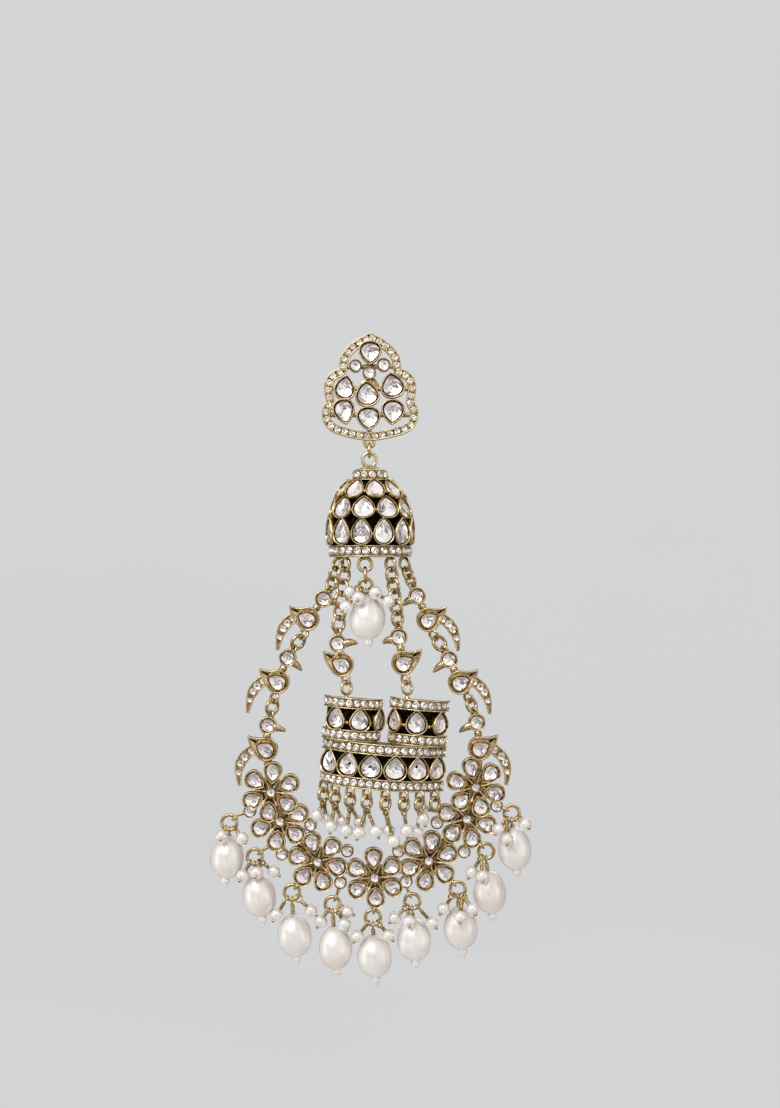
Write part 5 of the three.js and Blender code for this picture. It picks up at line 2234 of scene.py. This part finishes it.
def pearl_drops() -> list[PearlDrop]:
    """Lists the crescent's nine drops and the large one under the dome.

    Returns:
        The drops.
    """
    made = [PearlDrop(f"drop_{number}", in_chain_plane(row.pearl), in_chain_plane(row.ring),
                      DROP_RING_R, row.seeds) for number, row in enumerate(DROPS, 1)]
    last = CHAINS["centre_pearl"].links()[-1]
    pearl = np.array([CENTRE_PEARL[0], last.centre[1], CENTRE_PEARL[1]])
    return [*made, PearlDrop("centre_pearl", pearl, last.centre, last.radius, CENTRE_SEEDS,
                             length=10.2, width=8.3)]


# ---- Studio ----


@dataclass(frozen=True)
class Softbox:
    """A rectangular soft light: its place and size in metres, and its brightness."""

    name: str
    place: Triple
    width: float
    height: float
    radiance: float
    tint: Triple = (1.0, 1.0, 1.0)

    def hang(self, target: Sequence[float]) -> None:
        """Hangs the light so that it faces a point.

        Args:
            target: The point, in metres.
        """
        light = bpy.data.lights.new(self.name, "AREA")
        light.shape = "RECTANGLE"
        light.size, light.size_y = self.width, self.height
        light.energy = self.radiance * math.pi * self.width * self.height
        light.color = self.tint
        made = put_in_scene(self.name, light)
        made.location = self.place
        aim = Vector(target) - Vector(self.place)
        made.rotation_euler = aim.to_track_quat("-Z", "Y").to_euler()


@dataclass
class Studio:
    """The pale cove round the earring, its soft lights and the camera, in metres.

    Reflections see soft panels with dark gaps between them, dimmer behind, a bright ceiling, a
    dull low part and a dark lens in front. The soft colours light all else.
    """

    panel: Triple = (1.0, 0.99, 0.97)
    gap: Triple = (0.09, 0.09, 0.085)
    back_panel: Triple = (0.62, 0.61, 0.60)
    back_gap: Triple = (0.10, 0.10, 0.10)
    low_part: Triple = (0.24, 0.22, 0.18)
    ceiling: Triple = (1.1, 1.1, 1.1)
    dark_lens: Triple = (0.06, 0.06, 0.065)
    soft_front: Triple = (0.33, 0.34, 0.35)
    soft_back: Triple = (0.30, 0.305, 0.31)
    soft_right: Triple = (0.24, 0.20, 0.17)
    soft_below: Triple = (1.12, 1.1, 1.07)

    floor_z: float = -0.36
    cove_r: float = 1.5
    cove_curve: float = 0.5
    cove_height: float = 2.0
    cove_sides: int = 72
    camera_place: Triple = (0.00475, -0.4, -0.0386)
    lens: float = 56.4
    boxes: tuple[Softbox, ...] = (
        Softbox("key_softbox", (-0.24, -0.50, 0.34), 0.5, 0.34, 4.4),
        Softbox("side_strip", (0.50, -0.30, 0.02), 0.12, 0.55, 1.2, (1.0, 0.9, 0.82)),
        Softbox("left_strip", (-0.52, -0.16, -0.08), 0.12, 0.5, 2.1, (0.96, 1.0, 1.0)),
        Softbox("rear_box", (0.25, 0.55, 0.2), 0.3, 0.3, 1.4),
    )

    def build(self) -> None:
        """Builds the cove, the lights, the surroundings and the camera."""
        self.cove()
        low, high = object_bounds()
        target = tuple(0.5 * (a + b) for a, b in zip(low, high))
        for box in self.boxes:
            box.hang(target)
        self.surroundings()
        self.camera()

    def cove(self) -> None:
        """Makes the round floor whose edge curves up into a wall."""
        turn = np.linspace(0.0, 0.5 * math.pi, 10)
        curve = self.cove_r - self.cove_curve + self.cove_curve * np.sin(turn)
        lift = self.floor_z + self.cove_curve * (1.0 - np.cos(turn))
        radii = [0.05, 0.5, *curve, self.cove_r]
        heights = [self.floor_z, self.floor_z, *lift, self.cove_height]
        profile = np.column_stack([radii, heights])[::-1] / MM
        bench = Bench()
        bench.turned(Seat(ORIGIN, RIGHT, BACK), profile, self.cove_sides,
                     tips=(None, self.floor_z / MM))
        made = bench.mesh("cove", PaleWall("studio_paint"))
        made.visible_diffuse = False
        made.visible_glossy = False
        made.visible_shadow = False
        made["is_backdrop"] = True

    def surroundings(self) -> None:
        """Lights the room, with soft panels in reflections and an even light elsewhere."""
        world = bpy.data.worlds.new("studio_room")
        world.use_nodes = True
        bpy.context.scene.world = world
        board = NodeBoard(world.node_tree)
        way = board.add("ShaderNodeTexCoord").outputs["Generated"]
        x, y, z = board.add("ShaderNodeSeparateXYZ", {0: way}).outputs
        front = board.sum("MULTIPLY", y, -1.0)
        panels = board.ranged(board.noise(way, 2.8, 1.0), 0.42, 0.56)
        lit = board.mixed(panels, self.gap, self.panel)
        room = board.mixed(panels, self.back_gap, self.back_panel)
        room = board.mixed(board.ranged(front, -0.1, 0.4), room, lit)
        room = board.mixed(board.ranged(z, -0.75, -0.1), self.low_part, room)
        room = board.mixed(board.ranged(z, 0.55, 0.85), room, self.ceiling)
        room = board.mixed(board.ranged(front, 0.965, 0.995), room, self.dark_lens)
        soft = board.mixed(board.ranged(front, -0.6, 0.8), self.soft_back, self.soft_front)
        soft = board.mixed(board.ranged(x, 0.0, 0.7), soft, self.soft_right)
        soft = board.mixed(board.ranged(z, 0.3, -0.6), soft, self.soft_below)
        glossy = board.add("ShaderNodeLightPath").outputs["Is Glossy Ray"]
        colour = board.mixed(glossy, soft, room)
        glow = board.add("ShaderNodeBackground", {"Color": colour, "Strength": 1.0})
        board.add("ShaderNodeOutputWorld", {"Surface": glow.outputs[0]})

    def camera(self) -> None:
        """Makes the camera, level and straight at the front."""
        lens = bpy.data.cameras.new("camera")
        lens.lens = self.lens
        lens.clip_start = 0.01
        made = put_in_scene("camera", lens)
        made.location = self.camera_place
        made.rotation_euler = (0.5 * math.pi, 0.0, 0.0)
        bpy.context.scene.camera = made


def main() -> None:
    """Builds every piece in order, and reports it."""
    logging.basicConfig(level=logging.INFO, format="%(name)s: %(message)s")
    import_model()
    bpy.context.scene.view_settings.view_transform = "Standard"
    Stud().build()
    build_jump_rings()
    JhumkaDome().build([chain.links()[0] for chain in CHAINS.values()
                        if chain.start[2] == DOME_RIM_Z])
    for name, (bird, above, below) in BIRDS.items():
        bird.build(name, above, below)
    panel = Panel()
    panel.build()
    Fringe().build(panel.fringe_loops())
    Crescent().build()
    for drop in pearl_drops():
        drop.build()
    Studio().build()
    LOG.info("sizes written")


if __name__ == "__main__":
    main()
